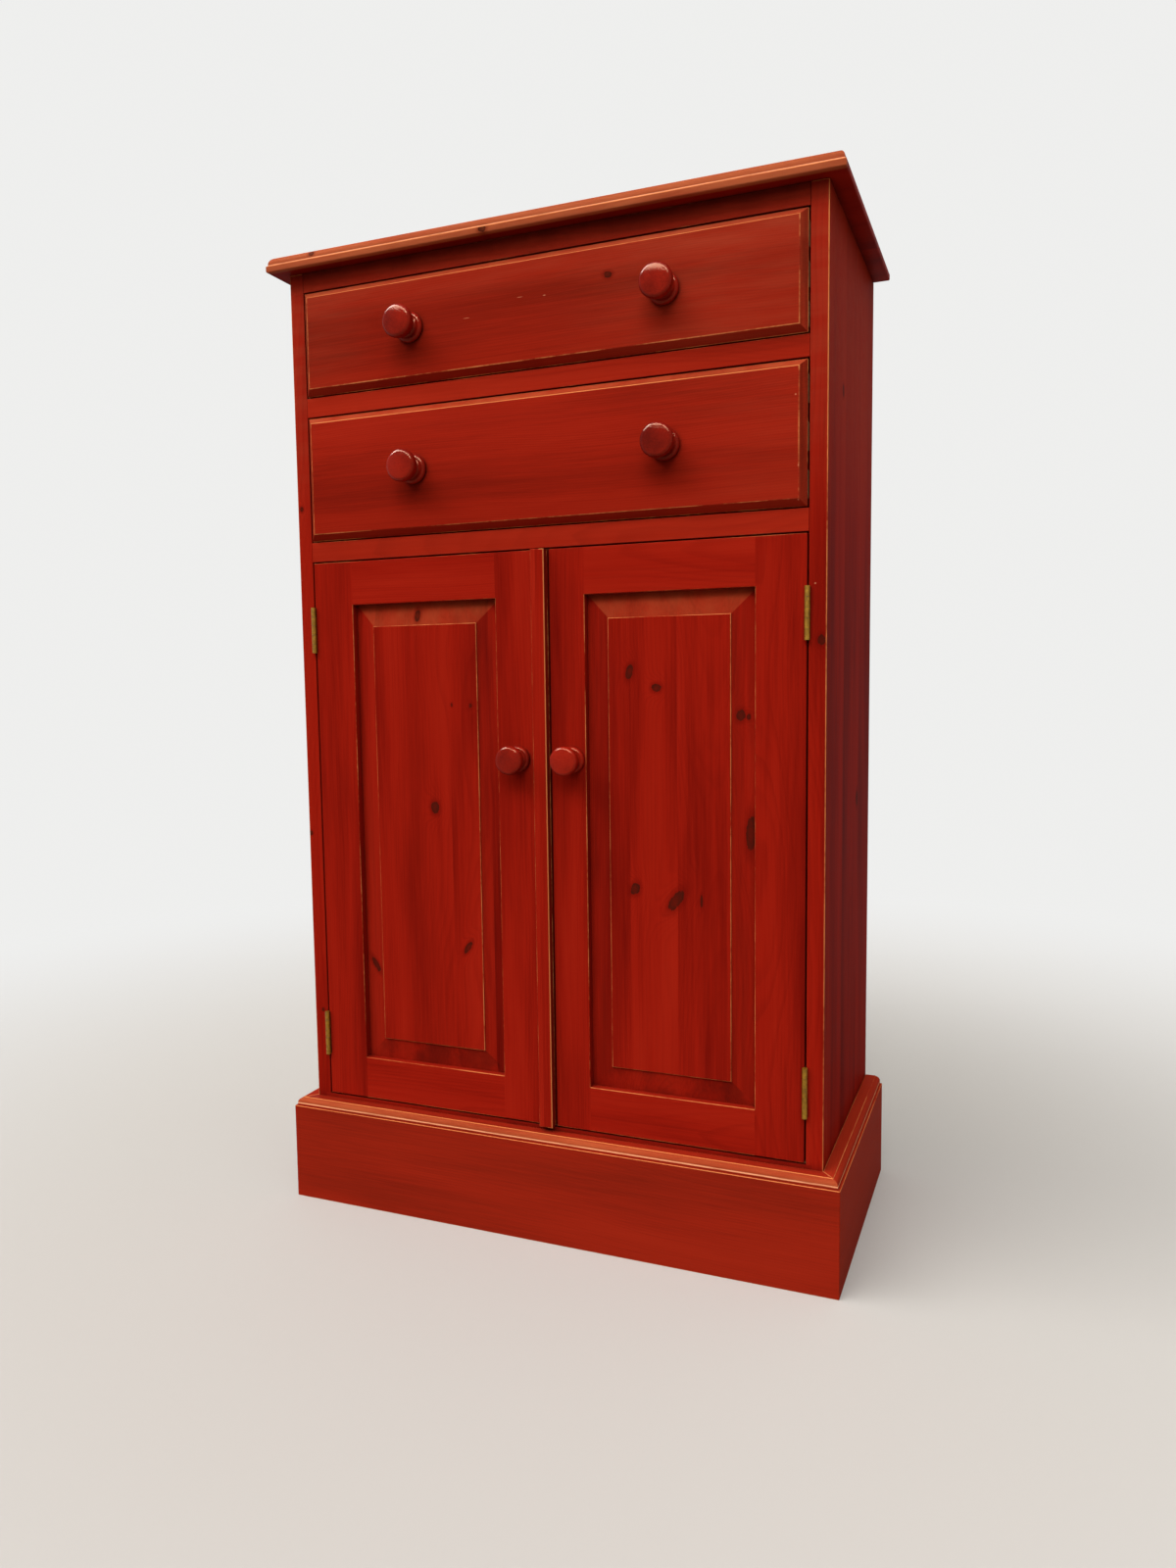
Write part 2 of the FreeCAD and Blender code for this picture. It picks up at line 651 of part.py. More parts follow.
def make_knob(name, x, y, z, radius, base, neck, length):
    """A turned wooden knob on the face at y: spigot, rosette, neck, and a head with a flat crown."""
    body = body_at(name, x, y, z)
    body.Placement.Rotation = FreeCAD.Rotation(FreeCAD.Vector(1, 0, 0), 90)
    sketch = drawing(body, "XZ_Plane", name + "_profile")
    points = [
        ("0", "-spigot_length"),
        ("spigot_radius", "-spigot_length"),
        ("spigot_radius", "0"),
    ]
    radii = {"base": base, "neck": neck, "radius": radius}
    arcs = {}
    for which, share, rise_share, bend in KNOB_SHARES:
        if bend:
            arcs[len(points)] = bend
        rise = "%s * %s" % (length, rise_share) if rise_share else "0"
        points.append(("%s * %s" % (radii[which], share), rise))
    crown_edge = "(%s * %s)" % (radius, CROWN_EDGE_SHARE)
    crown_rise = "(%s * %s)" % (length, CROWN_RISE_SHARE)
    arcs[len(points)] = ("sqrt(%s ^ 2 + %s ^ 2) / (2 * %s)" % (crown_edge, crown_rise, crown_rise), 1)
    points.append((crown_edge, "%s - %s" % (length, crown_rise)))
    points.append(("0", length))
    outline(sketch, points, arcs)
    feature = body.newObject("PartDesign::Revolution", name + "_turning")
    feature.Profile = sketch
    feature.ReferenceAxis = (sketch, ["V_Axis"])
    feature.Angle = 360
    keep(body)


def make_door(name, left, width, hinge_hand, inner_stile, knob_x):
    """One door: two grooved stiles, two tenoned rails, a raised panel, and a knob."""
    panel_width = "(%s - outer_stile - %s)" % (width, inner_stile)
    first, second = ("outer_stile", inner_stile) if hinge_hand < 0 else (inner_stile, "outer_stile")
    stiles = [
        ("left_stile", left, first, -1),
        ("right_stile", "%s + %s - %s" % (left, width, second), second, 1),
    ]
    for piece, x, across, side in stiles:
        body = body_at("%s_%s" % (name, piece), x, "0", DOOR_BOTTOM)
        face, block = pad(body, "XZ_Plane", "%s_%s_block" % (name, piece), "door_thickness")
        rectangle(face, "0", "0", across, DOOR_HEIGHT)
        groove = pocket(body, "XY_Plane", "%s_%s_groove" % (name, piece))
        start = "%s - groove_depth" % across if side < 0 else "0"
        rectangle(groove, start, "groove_front", "groove_depth", "groove_width")
        if side == hinge_hand:
            edge = "0" if side < 0 else across
            gain_start = edge if side < 0 else "%s - leaf_thickness" % edge
            hole_start = edge if side < 0 else "%s - leaf_thickness - screw_length" % edge
            gains = pocket(body, "YZ_Plane", "%s_gains" % name, "leaf_thickness", gain_start)
            holes = pocket(body, "YZ_Plane", "%s_pilot_holes" % name,
                           "leaf_thickness + screw_length", hole_start)
            for height in leaf_places():
                foot = "(%s - %s)" % (height, DOOR_BOTTOM)
                rectangle(gains, "0", foot, "leaf_width + knuckle_stand + leaf_play", "hinge_length")
                for along in screw_heights(foot):
                    circle(holes, screw_depth(), along, "screw_radius")
        else:
            hole = pocket(body, "XZ_Plane", "%s_knob_hole" % name, "spigot_length")
            circle(hole, "%s - (%s)" % (knob_x, x), "door_knob_height - %s" % DOOR_BOTTOM, "spigot_radius")
        keep(body)

    rail_left = "%s + %s" % (left, first)
    heights = [
        ("bottom_rail", "0", "door_rail_height - groove_depth"),
        ("top_rail", "%s - door_rail_height" % DOOR_HEIGHT, "0"),
    ]
    tenon_left = "-(groove_depth - panel_play)"
    tenon_length = "%s + 2 * (groove_depth - panel_play)" % panel_width
    for piece, foot, groove_foot in heights:
        body = body_at("%s_%s" % (name, piece), rail_left, "0", "%s + %s" % (DOOR_BOTTOM, foot))
        face, block = pad(body, "XZ_Plane", "%s_%s_block" % (name, piece), "door_thickness")
        rectangle(face, "0", "0", panel_width, "door_rail_height")
        tenon, block = pad(body, "XZ_Plane", "%s_%s_tenons" % (name, piece),
                           "groove_width - 2 * panel_play", "-(groove_front + panel_play)")
        rectangle(tenon, tenon_left, "0", tenon_length, "door_rail_height")
        groove = pocket(body, "YZ_Plane", "%s_%s_groove" % (name, piece),
                        "%s + 2 * groove_depth" % panel_width, "-groove_depth")
        rectangle(groove, "groove_front", groove_foot, "groove_width", "groove_depth")
        keep(body)

    opening = "(%s - 2 * door_rail_height)" % DOOR_HEIGHT
    body = body_at(name + "_panel", rail_left, "0", "%s + door_rail_height" % DOOR_BOTTOM)
    edge = "(groove_depth - panel_edge_play)"
    tongue, block = pad(body, "XZ_Plane", name + "_panel_tongue", "groove_width - 2 * panel_play",
                        "-(groove_front + panel_play)")
    rectangle(tongue, "-" + edge, "-" + edge,
              "%s + 2 * %s" % (panel_width, edge), "%s + 2 * %s" % (opening, edge))
    foot = drawing(body, "XZ_Plane", name + "_bevel_foot", "-(groove_front + panel_play)")
    rectangle(foot, "panel_play", "panel_play",
              panel_width + " - 2 * panel_play", opening + " - 2 * panel_play")
    field_front = "groove_front + panel_play - bevel_depth"
    field = ("bevel_width", "bevel_width", panel_width + " - 2 * bevel_width", opening + " - 2 * bevel_width")
    head = drawing(body, "XZ_Plane", name + "_bevel_head", "-(%s + field_step)" % field_front)
    rectangle(head, *field)
    bevels = body.newObject("PartDesign::AdditiveLoft", name + "_bevels")
    bevels.Profile = foot
    bevels.Sections = [head]
    bevels.Ruled = True
    raised, step = pad(body, "XZ_Plane", name + "_raised_field", "field_step", "-(%s)" % field_front)
    rectangle(raised, *field)
    keep(body)

    make_knob(name + "_knob", knob_x, "0", "door_knob_height", "door_knob_radius", "door_knob_base",
              "door_knob_neck", "door_knob_length")


def make_doors():
    """The pair of doors, and the cover strip on the left door's closing edge."""
    strip_middle = "(meeting_offset - strip_width / 2)"
    make_door("left_door", "-" + DOOR_REACH, LEFT_DOOR_WIDTH, -1, "left_inner_stile",
              "(%s - left_knob_offset)" % strip_middle)
    make_door("right_door", "(meeting_offset + meeting_gap)", RIGHT_DOOR_WIDTH, 1, "right_inner_stile",
              "(%s + right_knob_offset)" % strip_middle)
    board("cover_strip", "meeting_offset - strip_width", "-strip_thickness", DOOR_BOTTOM,
          "strip_width", "strip_thickness", DOOR_HEIGHT)


KNUCKLES = 5


def hinge_leaf(name, hand, own, low):
    """One leaf of a butt hinge. hand is the side of the pin that it lies on (-1 left, 1 right),
    own the first of its knuckles (0 or 1) and low the height of the hinge's foot."""
    centre = ("-" if hand < 0 else "") + PIN_X
    step = "(hinge_length / %d)" % KNUCKLES
    inner = "door_gap / 2"
    start = "knuckle_radius + leaf_play"

    def plate_x(on_door):
        """The left face of the leaf's plate."""
        towards_door = -1 if hand > 0 else 1
        direction = towards_door if on_door else -towards_door
        right = "%s + %s" % (centre, inner)
        left = "%s - %s - leaf_thickness" % (centre, inner)
        return right if direction > 0 else left

    on_door = own == 1
    x = plate_x(on_door)
    solids = [box(name + "_plate", x, "%s + %s" % (PIN_Y, start), low,
                  "leaf_thickness", "leaf_width - leaf_play", "hinge_length")]
    for index in range(own, KNUCKLES, 2):
        below = "knuckle_play" if index > 0 else "0"
        above = "knuckle_play" if index < KNUCKLES - 1 else "0"
        foot = "%s + %s * %d + %s" % (low, step, index, below)
        tall = "%s - %s - %s" % (step, below, above)
        barrel = doc.addObject("Part::Cylinder", "%s_knuckle_%d" % (name, index))
        bind(barrel, Radius="knuckle_radius", Height=tall)
        place(barrel, centre, PIN_Y, foot)
        tab = box("%s_tab_%d" % (name, index), x, "%s + pin_radius + leaf_play" % PIN_Y, foot,
                  "leaf_thickness", start, tall)
        solids += [barrel, tab]
    whole = doc.addObject("Part::MultiFuse", name + "_whole")
    whole.Shapes = solids
    bore = doc.addObject("Part::Cylinder", name + "_bore")
    bind(bore, Radius="pin_radius + pin_play", Height="hinge_length + 2 * cut_overrun")
    place(bore, centre, PIN_Y, "%s - cut_overrun" % low)
    tools = [bore]
    for index, along in enumerate(screw_heights(low)):
        tools.append(screw_head("%s_sink_%d" % (name, index), hand, on_door, along))
    waste = doc.addObject("Part::MultiFuse", name + "_waste")
    waste.Shapes = tools
    leaf = doc.addObject("Part::Cut", name)
    leaf.Base = whole
    leaf.Tool = waste
    return leaf


def screw_head(name, hand, on_door, along):
    """The countersunk head of a hinge screw, widest at the face of its leaf."""
    head = doc.addObject("Part::Cone", name)
    bind(head, Radius1="screw_head", Radius2="screw_radius", Height="leaf_thickness")
    outward = hand if not on_door else -hand
    head.Placement.Rotation = FreeCAD.Rotation(FreeCAD.Vector(0, 0, 1), FreeCAD.Vector(outward, 0, 0))
    centre = ("-" if hand < 0 else "") + PIN_X
    place(head, "%s %s door_gap / 2" % (centre, "+" if outward > 0 else "-"), screw_depth(), along)
    return head


def hinge_screw(name, hand, on_door, along):
    """One countersunk wood screw, in its leaf and its pilot hole."""
    head = screw_head(name + "_head", hand, on_door, along)
    shank = doc.addObject("Part::Cylinder", name + "_shank")
    bind(shank, Radius="screw_radius", Height="screw_length")
    outward = hand if not on_door else -hand
    shank.Placement.Rotation = FreeCAD.Rotation(FreeCAD.Vector(0, 0, 1), FreeCAD.Vector(outward, 0, 0))
    centre = ("-" if hand < 0 else "") + PIN_X
    reach = "(door_gap / 2 + leaf_thickness)"
    place(shank, "%s %s %s" % (centre, "+" if outward > 0 else "-", reach), screw_depth(), along)
    screw = doc.addObject("Part::MultiFuse", name)
    screw.Shapes = [head, shank]
    return screw


def make_hinges():
    """Four brass butt hinges. Leaves on one body share a node, and so do screws and pins."""
    carcass_leaves, carcass_screws, pins = [], [], []
    for door, hand in (("left_door", -1), ("right_door", 1)):
        leaves, screws = [], []
        for index, low in enumerate(leaf_places()):
            stem = "%s_hinge_%d" % (door, index)
            carcass_leaves.append(hinge_leaf(stem + "_carcass_leaf", hand, 0, low))
            leaves.append(hinge_leaf(stem + "_door_leaf", hand, 1, low))
            pin = doc.addObject("Part::Cylinder", stem + "_pin")
            bind(pin, Radius="pin_radius", Height="hinge_length")
            place(pin, ("-" if hand < 0 else "") + PIN_X, PIN_Y, low)
            pins.append(pin)
            for number, along in enumerate(screw_heights(low)):
                own = hinge_screw("%s_door_screw_%d" % (stem, number), hand, True, along)
                other = hinge_screw("%s_carcass_screw_%d" % (stem, number), hand, False, along)
                screws.append(own)
                carcass_screws.append(other)
        keep(group(door + "_hinge_leaves", leaves))
        keep(group(door + "_hinge_screws", screws))
    keep(group("carcass_hinge_leaves", carcass_leaves))
    keep(group("carcass_hinge_screws", carcass_screws))
    keep(group("hinge_pins", pins))


def make_stops_and_catch():
    """Blocks that stop the drawers, and a magnetic catch with a steel strike on each door."""
    stops = []
    for drawer, top in (("upper", MIDDLE_RAIL_TOP), ("lower", LOWER_RAIL_TOP)):
        for side, sign in (("left", "-"), ("right", "+")):
            x = "0 %s stop_spacing / 2 - stop_width / 2" % sign
            y = "front_thickness - front_proud + stop_gap"
            stops.append(box("%s_stop_%s" % (drawer, side), x, y, top,
                             "stop_width", "stop_depth", "stop_height"))
    keep(group("drawer_stops", stops))
    joint = "(meeting_offset + meeting_gap / 2)"
    face = "(door_thickness + strike_thickness + catch_play)"
    board("door_catch", "%s - catch_width / 2" % joint, face, "%s - catch_height" % LOWER_RAIL_UNDER,
          "catch_width", "catch_depth", "catch_height")
    height = "%s - catch_height / 2 - strike_height / 2" % LOWER_RAIL_UNDER
    for door, sign in (("left_door", "-"), ("right_door", "+")):
        board(door + "_strike", "%s %s strike_spacing / 2 - strike_width / 2" % (joint, sign),
              "door_thickness", height, "strike_width", "strike_thickness", "strike_height")


make_top()
make_side("side_left", -1)
make_side("side_right", 1)
make_carcass()
make_back()
make_plinth()
make_drawer("upper_drawer", MIDDLE_RAIL_TOP, "upper_opening")
make_drawer("lower_drawer", LOWER_RAIL_TOP, "lower_opening")
make_doors()
make_hinges()
make_stops_and_catch()
doc.recompute()

# Nothing is written unless every object is sound, every cut took wood away and every solid is whole.
for item in doc.Objects:
    if "Invalid" in item.State or "Error" in item.State:
        raise RuntimeError("%s failed: %s" % (item.Name, item.State))
for before, feature in CUTS:
    if not feature.Shape.Volume < before.Shape.Volume:
        raise RuntimeError("%s cut nothing" % feature.Name)
for item in PARTS:
    if item.Shape.isNull() or not item.Shape.isValid() or not item.Shape.Solids:
        raise RuntimeError("%s is not a sound solid" % item.Name)
os.makedirs("parts", exist_ok=True)
for item in PARTS:
    item.Shape.exportStep("parts/%s.step" % item.Label)
print("%d nodes, %d solids" % (len(PARTS), sum(len(item.Shape.Solids) for item in PARTS)))
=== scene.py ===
import bmesh
import bpy
import json
from math import pi, radians
from mathutils import Matrix, Vector

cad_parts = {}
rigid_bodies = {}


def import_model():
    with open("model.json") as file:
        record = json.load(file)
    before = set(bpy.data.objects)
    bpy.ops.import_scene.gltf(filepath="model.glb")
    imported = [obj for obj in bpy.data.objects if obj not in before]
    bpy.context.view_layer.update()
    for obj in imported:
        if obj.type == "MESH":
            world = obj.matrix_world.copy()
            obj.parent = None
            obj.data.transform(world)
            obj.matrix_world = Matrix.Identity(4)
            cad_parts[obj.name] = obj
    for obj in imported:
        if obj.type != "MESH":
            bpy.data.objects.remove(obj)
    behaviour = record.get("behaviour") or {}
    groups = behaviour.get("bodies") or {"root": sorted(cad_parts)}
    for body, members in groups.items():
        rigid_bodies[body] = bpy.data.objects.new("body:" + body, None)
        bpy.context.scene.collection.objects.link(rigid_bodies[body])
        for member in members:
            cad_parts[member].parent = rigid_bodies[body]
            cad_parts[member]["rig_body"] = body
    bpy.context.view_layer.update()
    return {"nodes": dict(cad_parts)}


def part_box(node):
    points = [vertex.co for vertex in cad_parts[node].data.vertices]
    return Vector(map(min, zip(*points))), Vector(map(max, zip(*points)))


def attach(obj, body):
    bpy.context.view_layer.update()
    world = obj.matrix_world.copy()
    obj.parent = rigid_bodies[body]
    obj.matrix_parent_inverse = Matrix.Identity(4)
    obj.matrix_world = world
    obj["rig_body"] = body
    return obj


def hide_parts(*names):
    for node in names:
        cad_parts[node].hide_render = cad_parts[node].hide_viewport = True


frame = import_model()
nodes = frame["nodes"]


# The view: from the cupboard's right front, a little over half its height, through a wide lens.
# The place and the three turns were fitted to the corners of the cupboard.
EYE = Vector((0.4738, -1.1586, 0.5884))
TURN, TILT, LEAN = 0.38702, -0.09034, -0.01268
FILM_HEIGHT = 36
LENS = 25.32
camera_data = bpy.data.cameras.new("camera")
camera_data.sensor_fit = "VERTICAL"
camera_data.sensor_height = FILM_HEIGHT
camera_data.lens = LENS
camera = bpy.data.objects.new("camera", camera_data)
bpy.context.scene.collection.objects.link(camera)
raised = Matrix.Rotation(pi / 2 + TILT, 4, "X")
swing = Matrix.Rotation(TURN, 4, "Z") @ raised @ Matrix.Rotation(LEAN, 4, "Z")
camera.matrix_world = Matrix.Translation(EYE) @ swing
bpy.context.scene.camera = camera
bpy.context.scene.view_settings.view_transform = "Standard"


# The studio: a pale floor that runs out into a pale surround, a dim even light from all round, a
# broad band of soft light high before the cupboard and on its left, and a weak lamp on its right.
SURROUND = (0.86, 0.86, 0.85, 1)
FLOOR_PALE = (0.5, 0.495, 0.485, 1)
FLOOR_DIM = (0.21, 0.18, 0.15, 1)
LIGHT_TINT = (0.9, 0.855, 0.8, 1)
FLOOR_WIDTH = 60
FLOOR_ENDS = (0.5, 1.9)
SKY_HEIGHTS = (0.3, 0.9)
SKY_LIGHT = (0.09, 0.9)
BAND_FOOT = (0.54, 0.62)
BAND_HEAD = (0.88, 0.8)
BAND_ENDS = (0.4, 0.55)
BAND_WAY = (-0.42, -0.907, 0)
BAND_LIGHT = 7.2
BAND_GLARE = 40.0
LAMPS = [
    ("front_lamp", (1.2, -3.6, 2.6), 1.6, 30),
    ("side_lamp", (2.6, -2.0, 1.6), 1.8, 5),
]
LAMPS_AIM = Vector((0, 0, 0.55))


def add(tree, kind, inputs=None, **settings):
    """Adds a shader node. Its inputs are numbers, colours or the outputs of other nodes."""
    made = tree.nodes.new("ShaderNode" + kind)
    for name, value in settings.items():
        setattr(made, name, value)
    for key, value in (inputs or {}).items():
        if isinstance(value, bpy.types.NodeSocket):
            tree.links.new(value, made.inputs[key])
        else:
            made.inputs[key].default_value = value
    return made


def sum_of(tree, operation, *values, clamp=False):
    """A Math node on numbers or outputs. Returns its result."""
    return add(tree, "Math", dict(enumerate(values)), operation=operation, use_clamp=clamp).outputs[0]


def vector_of(tree, operation, *values):
    """A Vector Math node on places or outputs. Returns its result."""
    made = add(tree, "VectorMath", dict(enumerate(values)), operation=operation)
    return made.outputs["Value" if operation in ("LENGTH", "DOT_PRODUCT") else "Vector"]


def blended(tree, factor, first, second):
    """A colour mixed from two. Returns the result."""
    return add(tree, "Mix", {0: factor, 6: first, 7: second}, data_type="RGBA").outputs[2]


def eased_step(tree, value, start, end, low=0.0, high=1.0):
    """A value that goes smoothly from low to high as another goes from start to end."""
    inputs = {"Value": value, "From Min": start, "From Max": end, "To Min": low, "To Max": high}
    return add(tree, "MapRange", inputs, interpolation_type="SMOOTHSTEP").outputs[0]


def shader_of(name):
    """A new material. Returns it, its nodes and its Principled shader."""
    material = bpy.data.materials.new(name)
    material.use_nodes = True
    return material, material.node_tree, material.node_tree.nodes["Principled BSDF"]


def seen_rays(tree):
    """1 for what the camera sees, straight, in a reflection or through glass, else 0. The second
    output is 1 in a reflection."""
    path = add(tree, "LightPath")
    straight = sum_of(tree, "MAXIMUM", path.outputs["Is Camera Ray"], path.outputs["Is Transmission Ray"])
    reflected = path.outputs["Is Glossy Ray"]
    return sum_of(tree, "MAXIMUM", straight, reflected), reflected


def let_go():
    """Nothing stays selected."""
    bpy.ops.object.select_all(action="DESELECT")


let_go()
bpy.ops.mesh.primitive_plane_add(size=FLOOR_WIDTH, location=(0, 0, 0))
floor = bpy.context.object
floor.name = "floor"
paper, tree, shader = shader_of("floor_paper")
place = add(tree, "TexCoord").outputs["Object"]
distance = vector_of(tree, "LENGTH", place)
far = eased_step(tree, distance, *FLOOR_ENDS)
seen = seen_rays(tree)[0]
tree.links.new(blended(tree, seen, FLOOR_DIM, FLOOR_PALE), shader.inputs["Base Color"])
shader.inputs["Roughness"].default_value = 0.9
shader.inputs["Specular IOR Level"].default_value = 0.1
glow = add(tree, "Emission", {"Color": SURROUND, "Strength": 1.0})
fade = sum_of(tree, "MULTIPLY", far, seen)
both = add(tree, "MixShader", {0: fade, 1: shader.outputs[0], 2: glow.outputs[0]})
tree.links.new(both.outputs[0], tree.nodes["Material Output"].inputs["Surface"])
floor.data.materials.append(paper)

world = bpy.data.worlds.new("surround")
world.use_nodes = True
bpy.context.scene.world = world
tree = world.node_tree
seen, reflected = seen_rays(tree)
direction = add(tree, "TexCoord").outputs["Generated"]
upward = add(tree, "SeparateXYZ", {0: direction}).outputs[2]
level = vector_of(tree, "MULTIPLY", direction, (1, 1, 0))
level = vector_of(tree, "NORMALIZE", level)
towards = vector_of(tree, "DOT_PRODUCT", level, BAND_WAY)
band = sum_of(tree, "MULTIPLY", eased_step(tree, upward, *BAND_FOOT), eased_step(tree, upward, *BAND_HEAD))
band = sum_of(tree, "MULTIPLY", band, eased_step(tree, towards, *BAND_ENDS))
sky = eased_step(tree, upward, *SKY_HEIGHTS, *SKY_LIGHT)
glare = sum_of(tree, "MULTIPLY_ADD", reflected, BAND_GLARE, BAND_LIGHT)
sky = sum_of(tree, "MULTIPLY_ADD", band, glare, sky)
strength = sum_of(tree, "MAXIMUM", seen, sky)
background = tree.nodes["Background"]
tree.links.new(blended(tree, seen, LIGHT_TINT, SURROUND), background.inputs["Color"])
tree.links.new(strength, background.inputs["Strength"])

for name, spot, size, power in LAMPS:
    lamp_data = bpy.data.lights.new(name, "AREA")
    lamp_data.shape = "DISK"
    lamp_data.size = size
    lamp_data.energy = power
    lamp = bpy.data.objects.new(name, lamp_data)
    lamp.location = spot
    lamp.visible_glossy = False
    lamp.rotation_euler = (LAMPS_AIM - lamp.location).to_track_quat("-Z", "Y").to_euler()
    bpy.context.scene.collection.objects.link(lamp)


# The two sides: upright pine boards glued up from strips, stained and waxed outside and on their
# front edges, bare inside. Their back edges are rebated for the back, and they reach down to the
# underside of the plinth.
def new_group(name, inputs, outputs):
    """An empty node group. Inputs are (title, number or vector). Outputs are titles: the one called
    Color is a colour, the others are numbers."""
    group = bpy.data.node_groups.new(name, "ShaderNodeTree")
    for title, value in inputs:
        kind = "NodeSocketVector" if isinstance(value, tuple) else "NodeSocketFloat"
        socket = group.interface.new_socket(name=title, in_out="INPUT", socket_type=kind)
        socket.default_value = value
    for title in outputs:
        kind = "NodeSocketColor" if title == "Color" else "NodeSocketFloat"
        group.interface.new_socket(name=title, in_out="OUTPUT", socket_type=kind)
    return group, group.nodes.new("NodeGroupInput").outputs, group.nodes.new("NodeGroupOutput").inputs


def close_group(group, outputs, results):
    """Joins results to a group's outputs."""
    for title, value in results.items():
        group.links.new(value, outputs[title])


# Pine as a solid: rings round the tree's middle, which lies off the board. X is across the board,
# Y into it and Z along it. Each strip of a glued-up board comes from another tree.
MID_GREY = (0.5, 0.5, 0.5)
STRIPS_APART = (0.07, 0.03, 9.0)
STRIP_STEP = 7.31
SEED_STEP = 3.7
WANDER = (0.05, 0.05, 0)
RIPPLE = 1.6
pine_figure, taken, given = new_group(
    "pine_figure",
    [("Vector", (0, 0, 0)), ("Pith", (0.02, 0.06, 0)), ("Ring Width", 0.0032), ("Taper", 0.03),
     ("Strip Width", 10.0), ("Strip Start", 0.0), ("Seed", 0.0), ("Swirl", 0.0)],
    ["Late Wood", "Fibre", "Tone", "Strip"],
)
tree = pine_figure
split = add(tree, "SeparateXYZ", {0: taken["Vector"]})
shifted = sum_of(tree, "SUBTRACT", split.outputs[0], taken["Strip Start"])
strip = sum_of(tree, "FLOOR", sum_of(tree, "DIVIDE", shifted, taken["Strip Width"]))
strip_seed = sum_of(tree, "MULTIPLY_ADD", strip, STRIP_STEP, taken["Seed"])
strip_random = add(tree, "TexWhiteNoise", {"W": strip_seed}, noise_dimensions="1D")
strip_shift = vector_of(tree, "SUBTRACT", strip_random.outputs["Color"], MID_GREY)
strip_shift = vector_of(tree, "MULTIPLY", strip_shift, STRIPS_APART)
own = vector_of(tree, "ADD", taken["Vector"], strip_shift)
seed_shift = add(tree, "CombineXYZ", {2: sum_of(tree, "MULTIPLY", taken["Seed"], SEED_STEP)}).outputs[0]
sample = vector_of(tree, "ADD", own, seed_shift)


def noise(tree, vector, stretch, detail=2.0, roughness=0.5):
    """A noise with its own stretch along each axis, from 0 to 1."""
    scaled = vector_of(tree, "MULTIPLY", vector, stretch)
    inputs = {"Vector": scaled, "Scale": 1.0, "Detail": detail, "Roughness": roughness}
    return add(tree, "TexNoise", inputs)


wander = noise(tree, sample, (2.0, 2.0, 1.9), 2.0).outputs["Color"]
wander = vector_of(tree, "SUBTRACT", wander, MID_GREY)
wander = vector_of(tree, "MULTIPLY", wander, WANDER)
about = vector_of(tree, "SUBTRACT", own, taken["Pith"])
about = vector_of(tree, "ADD", about, wander)
split = add(tree, "SeparateXYZ", {0: about})
flat = add(tree, "CombineXYZ", {0: split.outputs[0], 1: split.outputs[1]}).outputs[0]
radius = vector_of(tree, "LENGTH", flat)
radius = sum_of(tree, "MULTIPLY_ADD", split.outputs[2], taken["Taper"], radius)
radius = sum_of(tree, "ADD", radius, taken["Swirl"])
ripple = noise(tree, sample, (38.0, 38.0, 3.0), 3.0, 0.6).outputs[0]
phase = sum_of(tree, "DIVIDE", radius, taken["Ring Width"])
phase = sum_of(tree, "MULTIPLY_ADD", ripple, RIPPLE, phase)
ring = sum_of(tree, "FLOOR", phase)
along = sum_of(tree, "FRACT", phase)
late = sum_of(tree, "MULTIPLY", eased_step(tree, along, 0.3, 0.86), eased_step(tree, along, 0.99, 0.9))
strength = add(tree, "TexWhiteNoise", {"W": ring}, noise_dimensions="1D").outputs["Value"]
late = sum_of(tree, "MULTIPLY", late, sum_of(tree, "MULTIPLY_ADD", strength, 0.75, 0.25))
fine = noise(tree, sample, (420.0, 420.0, 9.0), 3.0, 0.6).outputs[0]
finest = noise(tree, sample, (1500.0, 1500.0, 26.0), 2.0, 0.5).outputs[0]
fibre = sum_of(tree, "MULTIPLY_ADD", finest, 0.4, sum_of(tree, "MULTIPLY", fine, 0.6))
slow = noise(tree, sample, (17.0, 17.0, 1.7), 3.0, 0.55).outputs[0]
close_group(tree, given, {"Late Wood": late, "Fibre": fibre, "Tone": slow,
                          "Strip": strip_random.outputs["Value"]})

# A knot: the root of a branch, cut across. The grain bends round it.
knot, taken, given = new_group(
    "knot",
    [("Vector", (0, 0, 0)), ("Centre", (0, 0, 0)), ("Flatten", (1, 0, 0.55)), ("Radius", 0.006),
     ("Lean", 0.0), ("Core Before", 0.0), ("Halo Before", 0.0), ("Swirl Before", 0.0)],
    ["Core", "Halo", "Swirl"],
)
tree = knot
away = vector_of(tree, "SUBTRACT", taken["Vector"], taken["Centre"])
split = add(tree, "SeparateXYZ", {0: away})
leaning = sum_of(tree, "MULTIPLY", split.outputs[2], taken["Lean"])
across = sum_of(tree, "SUBTRACT", split.outputs[0], leaning)
away = add(tree, "CombineXYZ", {0: across, 1: split.outputs[1], 2: split.outputs[2]}).outputs[0]
away = vector_of(tree, "MULTIPLY", away, taken["Flatten"])
span = vector_of(tree, "LENGTH", away)
span = sum_of(tree, "DIVIDE", span, taken["Radius"])
rough = noise(tree, taken["Vector"], (260.0, 260.0, 160.0), 3.0, 0.6).outputs[0]
ragged = sum_of(tree, "MULTIPLY_ADD", rough, 0.8, sum_of(tree, "SUBTRACT", span, 0.4))
filled = eased_step(tree, ragged, 0.2, 0.95, 0.8, 1.0)
rim = sum_of(tree, "MULTIPLY", eased_step(tree, ragged, 1.08, 0.92), filled)
core = sum_of(tree, "MULTIPLY", rim, eased_step(tree, rough, 0.7, 0.4, 0.75, 1.0))
halo = eased_step(tree, ragged, 2.2, 0.95)
push = sum_of(tree, "MULTIPLY", span, span)
